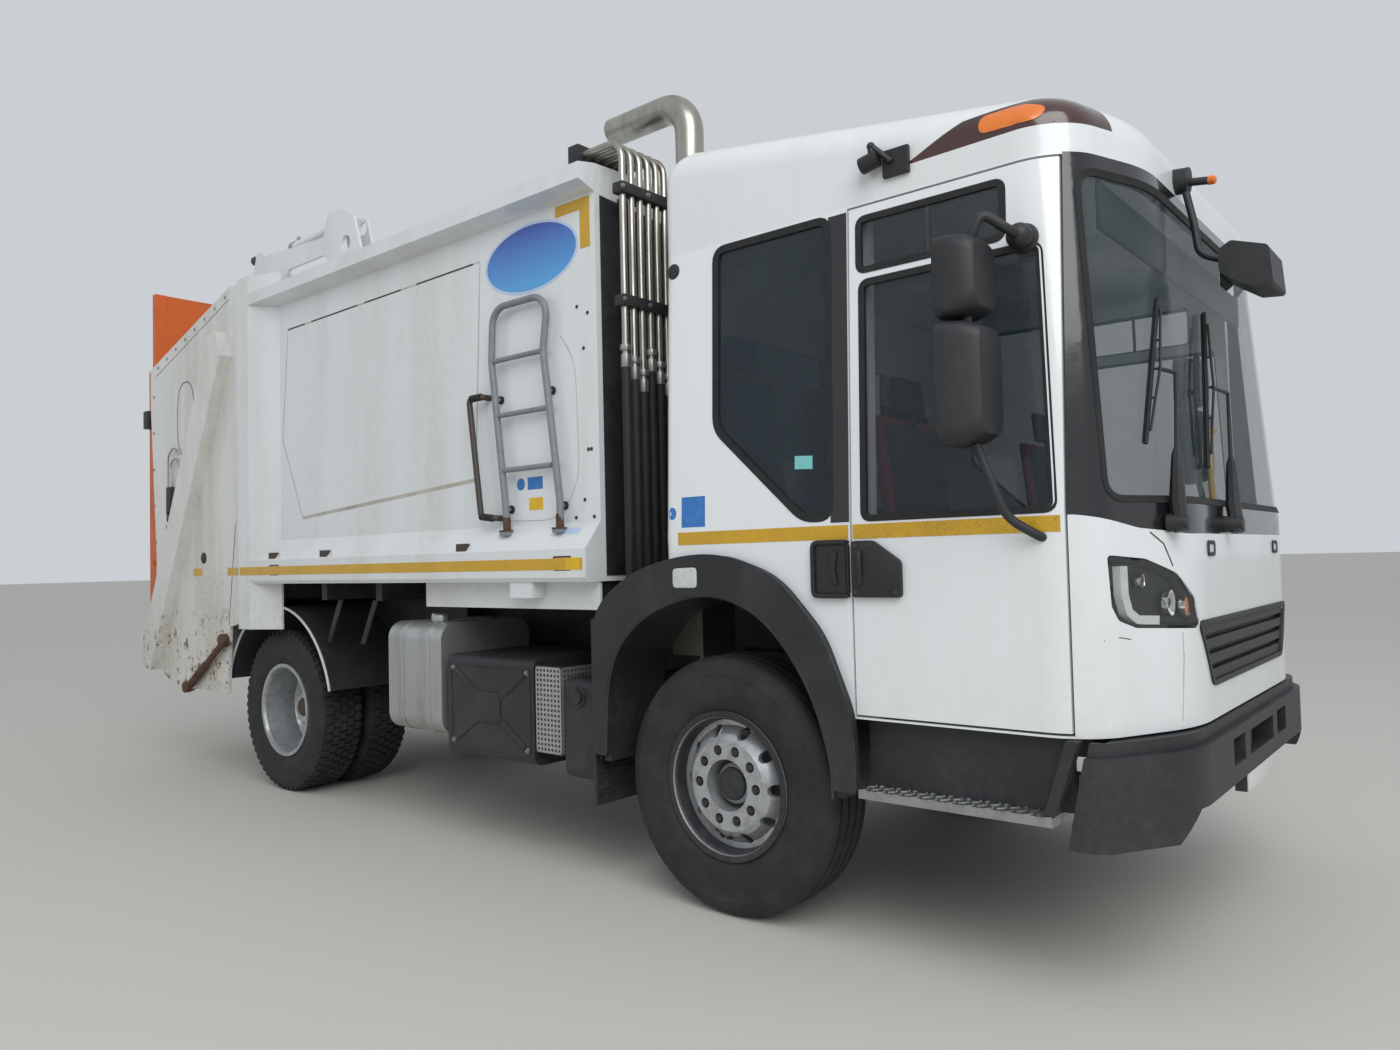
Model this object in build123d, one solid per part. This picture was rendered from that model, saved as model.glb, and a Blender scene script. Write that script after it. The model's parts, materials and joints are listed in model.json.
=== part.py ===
from build123d import *
import math
import os

# Rear-loading refuse truck. Millimetres, +Z up, the truck's front faces -Y and its right-hand side is -X.
# Y is counted from the front axle while building; every node is moved by SHIFT_Y when saved,
# so the stored origin is on the ground at the centre of the bounding box.
# A row's x is given for the left-hand side and mirrored where a part stands on both sides.

os.makedirs("parts", exist_ok=True)

# Overall places along the truck
FRONT_Y = -1895.0
REAR_Y = 5860.0
SHIFT_Y = -(FRONT_Y + REAR_Y) / 2.0
REAR_AXLE_Y = 3740.0
AXLE_Z = 520.0

# Wheels and tyres
TYRE_R = 520.0
BEAD_R = 287.0
FRONT_TYRE_X = 1045.0
REAR_OUTER_X = 955.0
REAR_INNER_X = 620.0
REAR_PAIR_X = (REAR_OUTER_X + REAR_INNER_X) / 2
KINGPIN_X = 940.0
KINGPIN_R = 22.0
STUB_R = 40.0
REAR_STUB_R = 45.0
RUN_CLEARANCE = 0.05

# Chassis
RAIL_OUT_X = 430.0
RAIL_IN_X = 360.0
RAIL_Z0 = 730.0
RAIL_Z1 = 980.0
RAIL_T = 9.0

# Cab
CAB_HALF_W = 1215.0
CAB_TOP_HALF_W = 1172.0
CAB_REAR_Y = 270.0
CAB_CORNER_Y = -1470.0
CAB_FRONT_Y = -1700.0
TOP_CORNER_Y = -1436.0
TOP_FRONT_Y = -1605.0
CAB_FLOOR_Z = 850.0
CREW_FLOOR_Z = 1350.0
BELT_Z = 1545.0
GUTTER_Z = 2715.0
SKIN = 40.0
GAP = 8.0
DOOR = dict(rear=-651.0, front=-1410.0, low=865.0, top=2700.0)
SPLIT_Y = DOOR["front"] - GAP
GLASS_DEPTH = 8.0
GLASS_T = 6.0
TRIM_DEPTH = SKIN + GAP + 45.0

# Roof moulding
ROOF_REAR_TOP_Z = 3186.0
ROOF_REAR_TOP_Y = 191.0
ROOF_SLOPE = 0.16
ROOF_ROUND = 140.0

# Load body
BODY_Y0 = 700.0
BODY_Y1 = 4000.0
WALL_X = 1150.0
SKIRT_X = 1250.0
PLATE = 12.0
BODY_FLOOR_Z = 1345.0
RING_Y0 = 3620.0
RING_Y1 = 3850.0
RING_TOP_Z = 3360.0

# Tailgate and what turns on it
GATE_Y0 = 4030.0
GATE_X = 1170.0
GATE_T = 20.0
GATE_REAR_Y = 5602.0
HINGE_Y = 3965.0
HINGE_Z = 3440.0
HINGE_PIN_R = 18.0
LIFT_Y = 5650.0
LIFT_Z = 1500.0
BLADE_Y = 4780.0
BLADE_Z = 2050.0

# Roof rams: the fixed pin, the moving eye, and half the width between them and the middle of the truck
RAM_FOOT_Y = 3067.0
RAM_FOOT_Z = 3585.0
RAM_EYE_Y = 4067.0
RAM_EYE_Z = 3553.0
RAM_X = 1000.0
RAM_PIN_R = 15.0

FAR = 2000.0
HIGH = 4000.0
SIDES = [dict(name="right", sign=-1.0), dict(name="left", sign=1.0)]


def box(x0, x1, y0, y1, z0, z1):
    """A block between two corners."""
    return Pos((x0 + x1) / 2, (y0 + y1) / 2, (z0 + z1) / 2) * Box(abs(x1 - x0), abs(y1 - y0), abs(z1 - z0))


def block(row, sign=1.0):
    """The block of a table row, on the side of the given sign."""
    return box(sign * row["x"][0], sign * row["x"][1], *row["y"], *row["z"])


def blocks(rows, signs=(1.0,)):
    """All blocks of a table, fused, on each of the given sides."""
    return joined([block(row, sign) for sign in signs for row in rows])


def prism_x(points, x0, x1):
    """A (y, z) outline drawn out along X."""
    plane = Plane((min(x0, x1), 0, 0), x_dir=(0, 1, 0), z_dir=(1, 0, 0))
    return extrude(plane * Polygon(*points, align=None), amount=abs(x1 - x0), dir=(1, 0, 0))


def prism_y(points, y0, y1):
    """An (x, z) outline drawn out along Y."""
    plane = Plane((0, max(y0, y1), 0), x_dir=(1, 0, 0), z_dir=(0, -1, 0))
    return extrude(plane * Polygon(*points, align=None), amount=abs(y1 - y0), dir=(0, -1, 0))


def prism_z(points, z0, z1):
    """An (x, y) outline drawn out along Z."""
    return extrude(Pos(0, 0, z0) * Polygon(*points, align=None), amount=z1 - z0, dir=(0, 0, 1))


def corner_edges(points, radii, closed):
    """Edges through the points with an arc of the given radius at each corner."""
    count = len(points)
    vectors = [Vector(*p) for p in points]
    starts = []
    ends = []
    arcs = []
    for i, here in enumerate(vectors):
        radius = radii[i] if isinstance(radii, (list, tuple)) else radii
        if (not closed and i in (0, count - 1)) or radius <= 0:
            starts.append(here)
            ends.append(here)
            arcs.append(None)
            continue
        back = (vectors[i - 1] - here).normalized()
        ahead = (vectors[(i + 1) % count] - here).normalized()
        half_angle = math.radians(back.get_angle(ahead)) / 2
        reach = radius / math.tan(half_angle)
        inward = (back + ahead).normalized()
        centre = here + inward * (radius / math.sin(half_angle))
        starts.append(here + back * reach)
        ends.append(here + ahead * reach)
        arcs.append(Edge.make_three_point_arc(starts[i], centre - inward * radius, ends[i]))
    edges = []
    for i in range(count):
        if arcs[i] is not None:
            edges.append(arcs[i])
        if i < count - 1 or closed:
            there = starts[(i + 1) % count]
            if (there - ends[i]).length > 1e-4:
                edges.append(Edge.make_line(ends[i], there))
    return edges


def rounded_face(points, radii):
    """A flat face with rounded corners from (x, y) points."""
    flat = [(p[0], p[1], 0) for p in points]
    return make_face(corner_edges(flat, radii, True))


def slab_x(points, radii, x0, x1):
    """A rounded (y, z) outline drawn out along X."""
    plane = Plane((min(x0, x1), 0, 0), x_dir=(0, 1, 0), z_dir=(1, 0, 0))
    return extrude(plane * rounded_face(points, radii), amount=abs(x1 - x0), dir=(1, 0, 0))


def slab_y(points, radii, y0, y1):
    """A rounded (x, z) outline drawn out along Y."""
    plane = Plane((0, max(y0, y1), 0), x_dir=(1, 0, 0), z_dir=(0, -1, 0))
    return extrude(plane * rounded_face(points, radii), amount=abs(y1 - y0), dir=(0, -1, 0))


def slab_z(points, radii, z0, z1):
    """A rounded (x, y) outline drawn out along Z."""
    return extrude(Pos(0, 0, z0) * rounded_face(points, radii), amount=z1 - z0, dir=(0, 0, 1))


def rod(start, end, radius):
    """A round bar from one point to another."""
    a = Vector(*start)
    way = Vector(*end) - a
    return extrude(Plane(a, z_dir=way.normalized()) * Circle(radius), amount=way.length)


def tube(points, radius, bend):
    """A round bar along a bent path, one piece for each straight or bend."""
    pieces = []
    for edge in corner_edges(points, bend, False):
        section = Plane(edge @ 0, z_dir=edge % 0) * Circle(radius)
        if edge.geom_type == GeomType.LINE:
            pieces.append(extrude(section, amount=edge.length, dir=edge % 0))
        else:
            pieces.append(sweep(section, path=edge))
    return joined(pieces)


def group(*shapes):
    """Shapes kept as separate solids of one node."""
    return Compound(children=[solid for shape in shapes for solid in shape.solids()])


def both(shape):
    """The shape and its mirror image on the other side of the truck."""
    return group(shape, mirror(shape, about=Plane.YZ))


def joined(shapes):
    """All shapes fused into one."""
    result = shapes[0]
    for other in shapes[1:]:
        result = result + other
    return result


def spin(profile, x, y, z):
    """A solid of revolution about an axis along X: profile holds (offset along X, radius) points."""
    face = Plane((0, 0, 0), x_dir=(1, 0, 0), z_dir=(0, -1, 0)) * Polygon(*profile, align=None)
    return Pos(x, y, z) * revolve(face, axis=Axis.X)


def hole_ring(count, ring_r, hole_r, x, length):
    """Round cutters along X, evenly spaced on a circle about the X axis."""
    cutter = Rot(0, 90, 0) * Cylinder(hole_r, length)
    turns = [2 * math.pi * k / count for k in range(count)]
    return [Pos(x, ring_r * math.cos(turn), ring_r * math.sin(turn)) * cutter for turn in turns]


def save(name, shape):
    """Write one node, with each of its solids moved to the stored origin."""
    solids = [Pos(0, SHIFT_Y, 0) * solid for solid in shape.solids()]
    export_step(solids[0] if len(solids) == 1 else Compound(children=solids), "parts/" + name + ".step")


# Wheels
TYRE_PROFILE = [
    (-112, BEAD_R), (112, BEAD_R), (114, 300), (132, 330), (144, 380), (144, 430), (134, 480), (118, 506),
    (96, 517), (0, TYRE_R), (-96, 517), (-118, 506), (-134, 480), (-144, 430), (-144, 380), (-132, 330),
    (-114, 300),
]
HUB_BORE = STUB_R + RUN_CLEARANCE
FRONT_WHEEL_PROFILE = [
    (-128, 298.5), (-116, 298.5), (-116, 286), (116, 286), (116, 298.5), (128, 298.5), (128, 276),
    (112, 270), (60, 262), (60, 236), (96, 205), (112, 182), (112, 104), (34, 104), (34, 84), (62, 82),
    (72, 70), (72, HUB_BORE), (-20, HUB_BORE), (-20, 90), (-36, 90), (-36, 205), (-8, 205), (-8, 112),
    (98, 112), (98, 176), (80, 196), (44, 230), (44, 262), (-112, 270), (-128, 276),
]
DRUM_BORE = REAR_STUB_R + RUN_CLEARANCE
REAR_WHEEL_PROFILE = [
    (827, 298.5), (839, 298.5), (839, 286), (1071, 286), (1071, 298.5), (1083, 298.5), (1083, 276),
    (1067, 270), (870, 262), (815, 225), (800, 185), (800, 130), (930, 120), (950, 95), (950, 60),
    (940, 60), (940, DRUM_BORE), (505, DRUM_BORE), (505, 120), (505, 215), (690, 215), (700, 130),
    (775, 130), (775, 185), (760, 225), (720, 262), (508, 270), (492, 276), (492, 298.5), (504, 298.5),
    (504, 286), (736, 286), (736, 298.5), (748, 298.5), (748, 276), (748, 262), (787.5, 235), (834, 270),
    (827, 276),
]
FRONT_HAND_HOLES = dict(count=10, ring_r=218, hole_r=24, x=70, length=140)
NUT_HOLES = dict(count=10, ring_r=144, hole_r=21, x=105, length=30)
REAR_HAND_HOLES = dict(count=8, ring_r=215, hole_r=27, x=REAR_PAIR_X, length=180)


def tyre(x, y):
    """One tyre at x, y on the axle height."""
    return spin(TYRE_PROFILE, x, y, AXLE_Z)


def wheel(profile, holes, sign):
    """A turned wheel about the origin, with its rings of holes, for the side of the given sign."""
    solid = spin(profile, 0, 0, 0) - [cutter for row in holes for cutter in hole_ring(**row)]
    return mirror(solid, about=Plane.YZ) if sign < 0 else solid


KNUCKLE_BLOCKS = [
    dict(x=(895, 1000), y=(-55, 55), z=(370, 415)),
    dict(x=(895, 1000), y=(-55, 55), z=(625, 670)),
    dict(x=(985, 1000), y=(-75, 75), z=(370, 670)),
    dict(x=(930, 990), y=(55, 190), z=(380, 410)),
]
STUB_END_X = 1112.0
for side in SIDES:
    s = side["sign"]
    save("tyre_front_" + side["name"], tyre(s * FRONT_TYRE_X, 0))
    front_wheel = wheel(FRONT_WHEEL_PROFILE, [FRONT_HAND_HOLES, NUT_HOLES], s)
    save("wheel_front_" + side["name"], Pos(s * FRONT_TYRE_X, 0, AXLE_Z) * front_wheel)
    rear_tyres = [tyre(s * x, REAR_AXLE_Y) for x in (REAR_OUTER_X, REAR_INNER_X)]
    save("tyres_rear_" + side["name"], group(*rear_tyres))
    rear_wheel = wheel(REAR_WHEEL_PROFILE, [REAR_HAND_HOLES], s)
    save("wheel_rear_" + side["name"], Pos(0, REAR_AXLE_Y, AXLE_Z) * rear_wheel)
    stub = rod((s * 1000, 0, AXLE_Z), (s * STUB_END_X, 0, AXLE_Z), STUB_R)
    kingpin = rod((s * KINGPIN_X, 0, 400), (s * KINGPIN_X, 0, 640), KINGPIN_R)
    save("knuckle_" + side["name"], blocks(KNUCKLE_BLOCKS, (s,)) + stub + kingpin)

# Axles and springs
SPRING_LEAVES = [
    dict(half=760, low=620, high=636),
    dict(half=620, low=600, high=620),
    dict(half=480, low=580, high=600),
    dict(half=320, low=560, high=580),
]
SPRING_X = (350, 430)
FRONT_BEAM = [dict(x=(0, 760), y=(-55, 55), z=(380, 500)), dict(x=(755, 910), y=(-35, 35), z=(430, 560))]
FRONT_SPRING_MOUNTS = [
    dict(x=(345, 435), y=(-90, 90), z=(500, 560)),
    dict(x=SPRING_X, y=(-790, -730), z=(620, 640)),
    dict(x=(370, 420), y=(700, 760), z=(620, RAIL_Z0)),
]
boss = Pos(KINGPIN_X, 0, AXLE_Z) * Cylinder(38, 200)
pin_bore = Pos(KINGPIN_X, 0, AXLE_Z) * Cylinder(KINGPIN_R + RUN_CLEARANCE, 260)
front_leaves = []
for leaf in SPRING_LEAVES:
    front_leaves.append(dict(x=SPRING_X, y=(-leaf["half"], leaf["half"]), z=(leaf["low"], leaf["high"])))
front_beam = blocks(FRONT_BEAM + FRONT_SPRING_MOUNTS + front_leaves, (-1.0, 1.0))
front_beam = front_beam + boss + mirror(boss, about=Plane.YZ)
save("front_axle", front_beam - [pin_bore, mirror(pin_bore, about=Plane.YZ)])

REAR_SPRING_SCALE = 0.8
REAR_SPRING_LIFT = 40.0
REAR_SPRING_MOUNTS = [
    dict(x=(345, 435), y=(REAR_AXLE_Y - 90, REAR_AXLE_Y + 90), z=(540, 600)),
    dict(x=(355, 425), y=(REAR_AXLE_Y - 620, REAR_AXLE_Y - 560), z=(670, RAIL_Z0)),
    dict(x=(355, 425), y=(REAR_AXLE_Y + 560, REAR_AXLE_Y + 620), z=(670, RAIL_Z0)),
]
rear_leaves = []
for leaf in SPRING_LEAVES:
    half = leaf["half"] * REAR_SPRING_SCALE
    height = (leaf["low"] + REAR_SPRING_LIFT, leaf["high"] + REAR_SPRING_LIFT)
    rear_leaves.append(dict(x=SPRING_X, y=(REAR_AXLE_Y - half, REAR_AXLE_Y + half), z=height))
save("rear_axle", joined([
    rod((-500, REAR_AXLE_Y, AXLE_Z), (500, REAR_AXLE_Y, AXLE_Z), 75),
    rod((-935, REAR_AXLE_Y, AXLE_Z), (935, REAR_AXLE_Y, AXLE_Z), REAR_STUB_R),
    Pos(0, REAR_AXLE_Y, AXLE_Z) * Sphere(205),
    rod((0, REAR_AXLE_Y - 330, 560), (0, REAR_AXLE_Y - 100, 530), 90),
    blocks(REAR_SPRING_MOUNTS + rear_leaves, (-1.0, 1.0)),
]))

# Chassis: two channel rails, cross members and the sub-frame under the body
RAIL_SIDE = [
    (-1390, 640), (-720, 640), (-560, RAIL_Z0), (4260, RAIL_Z0), (4260, RAIL_Z1), (-500, RAIL_Z1),
    (-635, 840), (-1390, 840),
]
RAIL_HOLLOW = [
    (-1400, 649), (-720, 649), (-560, RAIL_Z0 + RAIL_T), (4270, RAIL_Z0 + RAIL_T), (4270, RAIL_Z1 - RAIL_T),
    (-497, RAIL_Z1 - RAIL_T), (-632, 831), (-1400, 831),
]
CROSS_MEMBERS = [
    dict(y=-1330, half=60, z=740), dict(y=-950, half=40, z=740), dict(y=1000, half=40, z=840),
    dict(y=1900, half=40, z=840), dict(y=2900, half=40, z=840), dict(y=3950, half=50, z=900),
]
CROSS_HALF_H = 60.0
END_BEAMS = [
    dict(x=(-900, 900), y=(-1420, -1370), z=(660, 800)),
    dict(x=(-RAIL_OUT_X, RAIL_OUT_X), y=(4210, 4260), z=(RAIL_Z0, RAIL_Z1)),
]
frame_parts = [blocks(END_BEAMS)]
for s in (-1, 1):
    rail = prism_x(RAIL_SIDE, s * RAIL_IN_X, s * RAIL_OUT_X)
    frame_parts.append(rail - prism_x(RAIL_HOLLOW, s * RAIL_IN_X, s * (RAIL_OUT_X - RAIL_T)))
for row in CROSS_MEMBERS:
    span = (row["y"] - row["half"], row["y"] + row["half"], row["z"] - CROSS_HALF_H, row["z"] + CROSS_HALF_H)
    frame_parts.append(box(5 - RAIL_OUT_X, RAIL_OUT_X - 5, *span))
save("chassis_frame", joined(frame_parts))

SUB_RUNNER = dict(x=(345, 425), y=(720, 3990), z=(RAIL_Z1, 1240))
SUB_SPAN = (-1130, 1130)
SUB_BEAM_PLACES = range(720, 3701, 596)
sub_beams = [dict(x=SUB_SPAN, y=(y, y + 60), z=(1240, BODY_FLOOR_Z)) for y in SUB_BEAM_PLACES]
sub_beams.append(dict(x=SUB_SPAN, y=(3940, 3995), z=(1180, BODY_FLOOR_Z)))
save("body_subframe", blocks([SUB_RUNNER], (-1.0, 1.0)) + blocks(sub_beams))

ENGINE = [
    dict(x=(-330, 330), y=(-420, 640), z=(990, 1240)),
    dict(x=(-250, 250), y=(-380, 600), z=(660, 990)),
    dict(x=(-200, 200), y=(600, 955), z=(620, 960)),
]
save("engine_block", blocks(ENGINE))


# Cab
def cab_outline(inset, half_w, corner_y, front_y):
    """Plan outline of the cab, moved inwards by inset."""
    side_x = half_w - inset
    nose_x = 780 - 0.45 * inset
    corner = corner_y + 0.75 * inset
    nose_y = front_y + 25 + inset
    rear_y = CAB_REAR_Y - inset
    half = [(side_x, rear_y), (side_x, corner), (nose_x, nose_y)]
    other_half = [(-x, y) for x, y in reversed(half)]
    corner_r = 220 - inset * 0.8
    return rounded_face(half + other_half, [60, corner_r, 650, 650, corner_r, 60])


def cab_solid(inset):
    """The cab's outside up to the gutter, or the same form moved inwards."""
    low_outline = cab_outline(inset, CAB_HALF_W, CAB_CORNER_Y, CAB_FRONT_Y)
    top_outline = cab_outline(inset, CAB_TOP_HALF_W, TOP_CORNER_Y, TOP_FRONT_Y)
    low = extrude(Pos(0, 0, CAB_FLOOR_Z) * low_outline, amount=BELT_Z - CAB_FLOOR_Z, dir=(0, 0, 1))
    return low + loft([Pos(0, 0, BELT_Z) * low_outline, Pos(0, 0, GUTTER_Z) * top_outline])


def layer(outer_inset, inner_inset):
    """The part of the cab's wall between two depths below its surface."""
    return cab_solid(outer_inset) - cab_solid(inner_inset)


ARCH_ROUND = 400.0
ARCH_IN = [
    (-557, 500), (-557, 700), (-470, 960), (-290, 1190), (-90, 1285), (120, 1290), (420, 1175), (580, 960),
    (600, 500),
]
ARCH_OUT = [
    (-655, 590), (-650, 858), (-530, 1150), (-330, 1365), (-90, 1445), (130, 1450), (420, 1385),
    (640, 1240), (670, 1100), (670, 590),
]
ARCH_CUT = [
    (-590, 500), (-590, 712), (-500, 975), (-310, 1215), (-100, 1315), (130, 1320), (440, 1200), (610, 975),
    (640, 500),
]


def arch_slab(points, x0, x1):
    """A wheel arch outline with rounded bends, drawn out along X."""
    radii = [0] + [ARCH_ROUND] * (len(points) - 2) + [0]
    if points is ARCH_OUT:
        radii[-3] = ARCH_ROUND / 2
    return slab_x(points, radii, x0, x1)


SIDE_WINDOW = [(-20, 2690), (-20, 1956), (-440, 1575), (-560, 1575), (-560, 2690)]
DOOR_HOLE = [
    (DOOR["rear"] + GAP, DOOR["low"] - GAP), (DOOR["rear"] + GAP, DOOR["top"] + GAP),
    (DOOR["front"] - GAP, DOOR["top"] + GAP), (DOOR["front"] - GAP, DOOR["low"] - GAP),
]
DOOR_FORM = [
    (DOOR["rear"], DOOR["low"]), (DOOR["rear"], DOOR["top"]), (DOOR["front"], DOOR["top"]),
    (DOOR["front"], DOOR["low"]),
]
DOOR_PANES = [
    dict(points=[(-700, 1565), (-700, 2420), (-1350, 2420), (-1380, 1565)], radius=25),
    dict(points=[(-690, 2465), (-690, 2655), (-1235, 2655), (-1235, 2465)], radius=15),
]
REAR_WINDOW = dict(x=(-650, 650), y=(CAB_REAR_Y - 60, CAB_REAR_Y + 10), z=(1900, 2450))
REAR_GLASS = dict(x=(-650, 650), y=(CAB_REAR_Y - 14, CAB_REAR_Y - 8), z=(1900, 2450))
ENGINE_NOTCH = dict(x=(-460, 460), y=(200, 300), z=(800, 1300))
RING_REAR = dict(x=(900, FAR), y=(-700, -600), z=(CAB_FLOOR_Z, GUTTER_Z))
RING_TOP = dict(x=(900, FAR), y=(-1300, -600), z=(2660, GUTTER_Z))
RING_LINK = dict(x=(900, FAR), y=(-640, -600), z=(CAB_FLOOR_Z, GUTTER_Z))

shell = layer(0, SKIN)
glass_layer = layer(GLASS_DEPTH, GLASS_DEPTH + GLASS_T)
behind_split = box(-FAR, FAR, SPLIT_Y, CAB_REAR_Y + 100, 0, HIGH)
before_split = box(-FAR, FAR, -FAR, SPLIT_Y, 0, HIGH)
side_window = slab_x(SIDE_WINDOW, [30, 40, 60, 40, 30], -FAR, FAR)
door_hole = prism_x(DOOR_HOLE, -FAR, FAR)
arch_cut = arch_slab(ARCH_CUT, -FAR, FAR)
door_stop = layer(SKIN + GAP, TRIM_DEPTH) & blocks([RING_REAR, RING_TOP], (-1.0, 1.0))
stop_link = layer(SKIN, SKIN + GAP) & blocks([RING_LINK], (-1.0, 1.0))
cab_shell = (shell & behind_split) - [side_window, door_hole, block(REAR_WINDOW)]
save("cab_shell", (cab_shell + door_stop + stop_link) - [arch_cut, block(ENGINE_NOTCH)])
save("cab_glass", group(glass_layer & side_window & behind_split, block(REAR_GLASS)))

# Doors with their glass, mirrors and handles
MIRROR_HOUSINGS = [
    dict(x=(1260, 1470), y=(-1250, -1120), z=(2170, 2430)),
    dict(x=(1255, 1475), y=(-1255, -1115), z=(1770, 2160)),
]
MIRROR_ARM = [(1190, -1310, 2440), (1300, -1310, 2440), (1360, -1240, 2500), (1375, -1200, 2420)]
MIRROR_STAY = [(1365, -1200, 1775), (1290, -1260, 1540), (1230, -1340, 1480), (1206, -1345, 1475)]
MIRROR_LINK = [(1375, -1200, 2180), (1375, -1200, 2150)]
MIRROR_BALL = (1232, -1310, 2440)
ARM_R = 14.0
MIRROR_ROUND = 35.0
HANDLE = dict(x=(CAB_HALF_W, 1240), y=(-850, -655), z=(1300, 1470))


def door_mirror():
    """The two mirror heads of a left-hand door with their arm, link and stay."""
    heads = []
    for row in MIRROR_HOUSINGS:
        head = block(row)
        heads.append(fillet(head.edges().filter_by(Axis.Z), MIRROR_ROUND))
    arms = [tube(MIRROR_ARM, ARM_R, [0, 30, 25, 0]), tube(MIRROR_STAY, ARM_R, [0, 40, 20, 0])]
    arms += [rod(*MIRROR_LINK, ARM_R), Pos(*MIRROR_BALL) * Sphere(42)]
    return joined(heads + arms) - cab_solid(0)


pane_cuts = [slab_x(row["points"], row["radius"], 0, FAR) for row in DOOR_PANES]
left_door = (shell & prism_x(DOOR_FORM, 0, FAR)) - pane_cuts
left_panes = group(*[glass_layer & cut for cut in pane_cuts])
left_fittings = group(door_mirror(), block(HANDLE))
for side in SIDES:
    door_nodes = dict(door=left_door, door_glass=left_panes, door_fittings=left_fittings)
    for name, shape in door_nodes.items():
        save(name + "_" + side["name"], shape if side["sign"] > 0 else mirror(shape, about=Plane.YZ))

# Front panel, lamps, grille and windscreen
GRILLE = [(-715, 1178), (715, 1178), (590, 975), (-590, 975)]
LAMP = [
    (-1123, 1416), (-978, 1402), (-846, 1352), (-744, 1267), (-713, 1178), (-740, 1168), (-1023, 1184),
    (-1092, 1210), (-1114, 1254),
]
LAMP_ROUND = [12, 60, 60, 40, 12, 12, 40, 30, 30]
PANEL_TOP = [
    (-FAR, 0), (FAR, 0), (FAR, BELT_Z), (1190, BELT_Z), (1000, 1500), (780, 1480), (-780, 1480),
    (-1000, 1500), (-1190, BELT_Z), (-FAR, BELT_Z),
]
SCREEN = [(-1112, 1592), (-1098, 2655), (1098, 2655), (1112, 1592)]
SLAT_H = 34.0
front_shell = shell & before_split
grille_cut = slab_y(GRILLE, 25, -FAR, SPLIT_Y)
lamp_right = slab_y(LAMP, LAMP_ROUND, -FAR, SPLIT_Y - 22)
lamp_cut = lamp_right + mirror(lamp_right, about=Plane.YZ)
panel_region = slab_y(PANEL_TOP, [0, 0, 0, 80, 150, 200, 200, 150, 80, 0], -FAR, SPLIT_Y)
save("front_panel", (front_shell & panel_region) - [grille_cut, lamp_cut])
save("headlamps", layer(2, SKIN - 5) & before_split & lamp_cut)
slats = joined([box(-FAR, FAR, -FAR, SPLIT_Y, z, z + SLAT_H) for z in range(982, 1142, 53)])
backing = layer(SKIN - 12, SKIN) & before_split & grille_cut
save("grille", (layer(4, SKIN) & before_split & grille_cut & slats) + backing)

screen_cut = slab_y(SCREEN, 60, -FAR, SPLIT_Y)
save("screen_surround", (front_shell - panel_region) - screen_cut)
save("windscreen", layer(6, 14) & before_split & screen_cut)


# Roof moulding with the beacon lenses let into its front corners
def roof_top_z(y):
    """Height of the roof's top plane at a place along the truck."""
    return ROOF_REAR_TOP_Z + ROOF_SLOPE * (y - ROOF_REAR_TOP_Y)


def roof_form():
    """The roof moulding's outside: the cab's plan under a rising plane, with rounded upper edges."""
    plan = cab_outline(0, CAB_TOP_HALF_W, TOP_CORNER_Y, TOP_FRONT_Y)
    tall = extrude(Pos(0, 0, GUTTER_Z) * plan, amount=1000, dir=(0, 0, 1))
    low, high = [(-FAR, 0), (FAR, 0)], [(FAR, roof_top_z(FAR)), (-FAR, roof_top_z(-FAR))]
    form = tall & prism_x(low + high, -FAR, FAR)
    return fillet(form.faces().sort_by(Axis.Z)[-1].edges(), ROOF_ROUND)


BEACON = [
    (-880, 2803), (-1300, 2810), (-1700, 2806), (-1700, 2890), (-1500, 2915), (-1330, 2925), (-1100, 2900),
]
BEACON_IN_X = 940.0
roof = roof_form()
roof_plan_in = cab_outline(SKIN, CAB_TOP_HALF_W, TOP_CORNER_Y, TOP_FRONT_Y)
roof_hollow = extrude(Pos(0, 0, GUTTER_Z - 1) * roof_plan_in, amount=61, dir=(0, 0, 1))
beacon_cut = prism_x(BEACON, -FAR, -BEACON_IN_X) + prism_x(BEACON, BEACON_IN_X, FAR)
save("beacon_lenses", roof & beacon_cut)
save("cab_roof", roof - [beacon_cut, roof_hollow])

# Front-down mirror on its arm, and the camera on the roof's right side
FRONT_MIRROR_SIDE = [(-1730, 2385), (-1730, 2465), (-1770, 2490), (-1885, 2450), (-1895, 2315), (-1820, 2322)]
FRONT_MIRROR_X = (-520, -290)
FRONT_MIRROR_ARM = [(-420, -1605, 2765), (-440, -1640, 2600), (-450, -1655, 2480), (-440, -1745, 2440)]
MIRROR_BOSS = [(-420, -1520, 2775), (-420, -1625, 2765)]
CLEARANCE_LAMP = [(-420, -1620, 2758), (-418, -1690, 2748)]
CAMERA_PLATE = dict(x=(-1190, -CAB_TOP_HALF_W), y=(-905, -805), z=(2775, 2870))
CAMERA_ARM = [(-1190, -840, 2825), (-1215, -775, 2890)]
CAMERA_NECK = [(-1215, -775, 2890), (-1215, -775, 2830)]
CAMERA_HEAD = [(-1215, -800, 2840), (-1215, -735, 2828)]
CAMERA_ARM_R = 12.0
front_mirror = joined([
    slab_x(FRONT_MIRROR_SIDE, [20, 20, 20, 20, 12, 20], *FRONT_MIRROR_X),
    tube(FRONT_MIRROR_ARM, 13, [0, 60, 60, 0]),
    rod(*MIRROR_BOSS, 46),
    rod(*CLEARANCE_LAMP, 14),
])
camera = joined([
    block(CAMERA_PLATE),
    rod(*CAMERA_ARM, CAMERA_ARM_R),
    Pos(*CAMERA_ARM[1]) * Sphere(CAMERA_ARM_R + 3),
    rod(*CAMERA_NECK, CAMERA_ARM_R),
    rod(*CAMERA_HEAD, 30),
])
save("roof_fittings", group(front_mirror - roof, camera))

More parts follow.
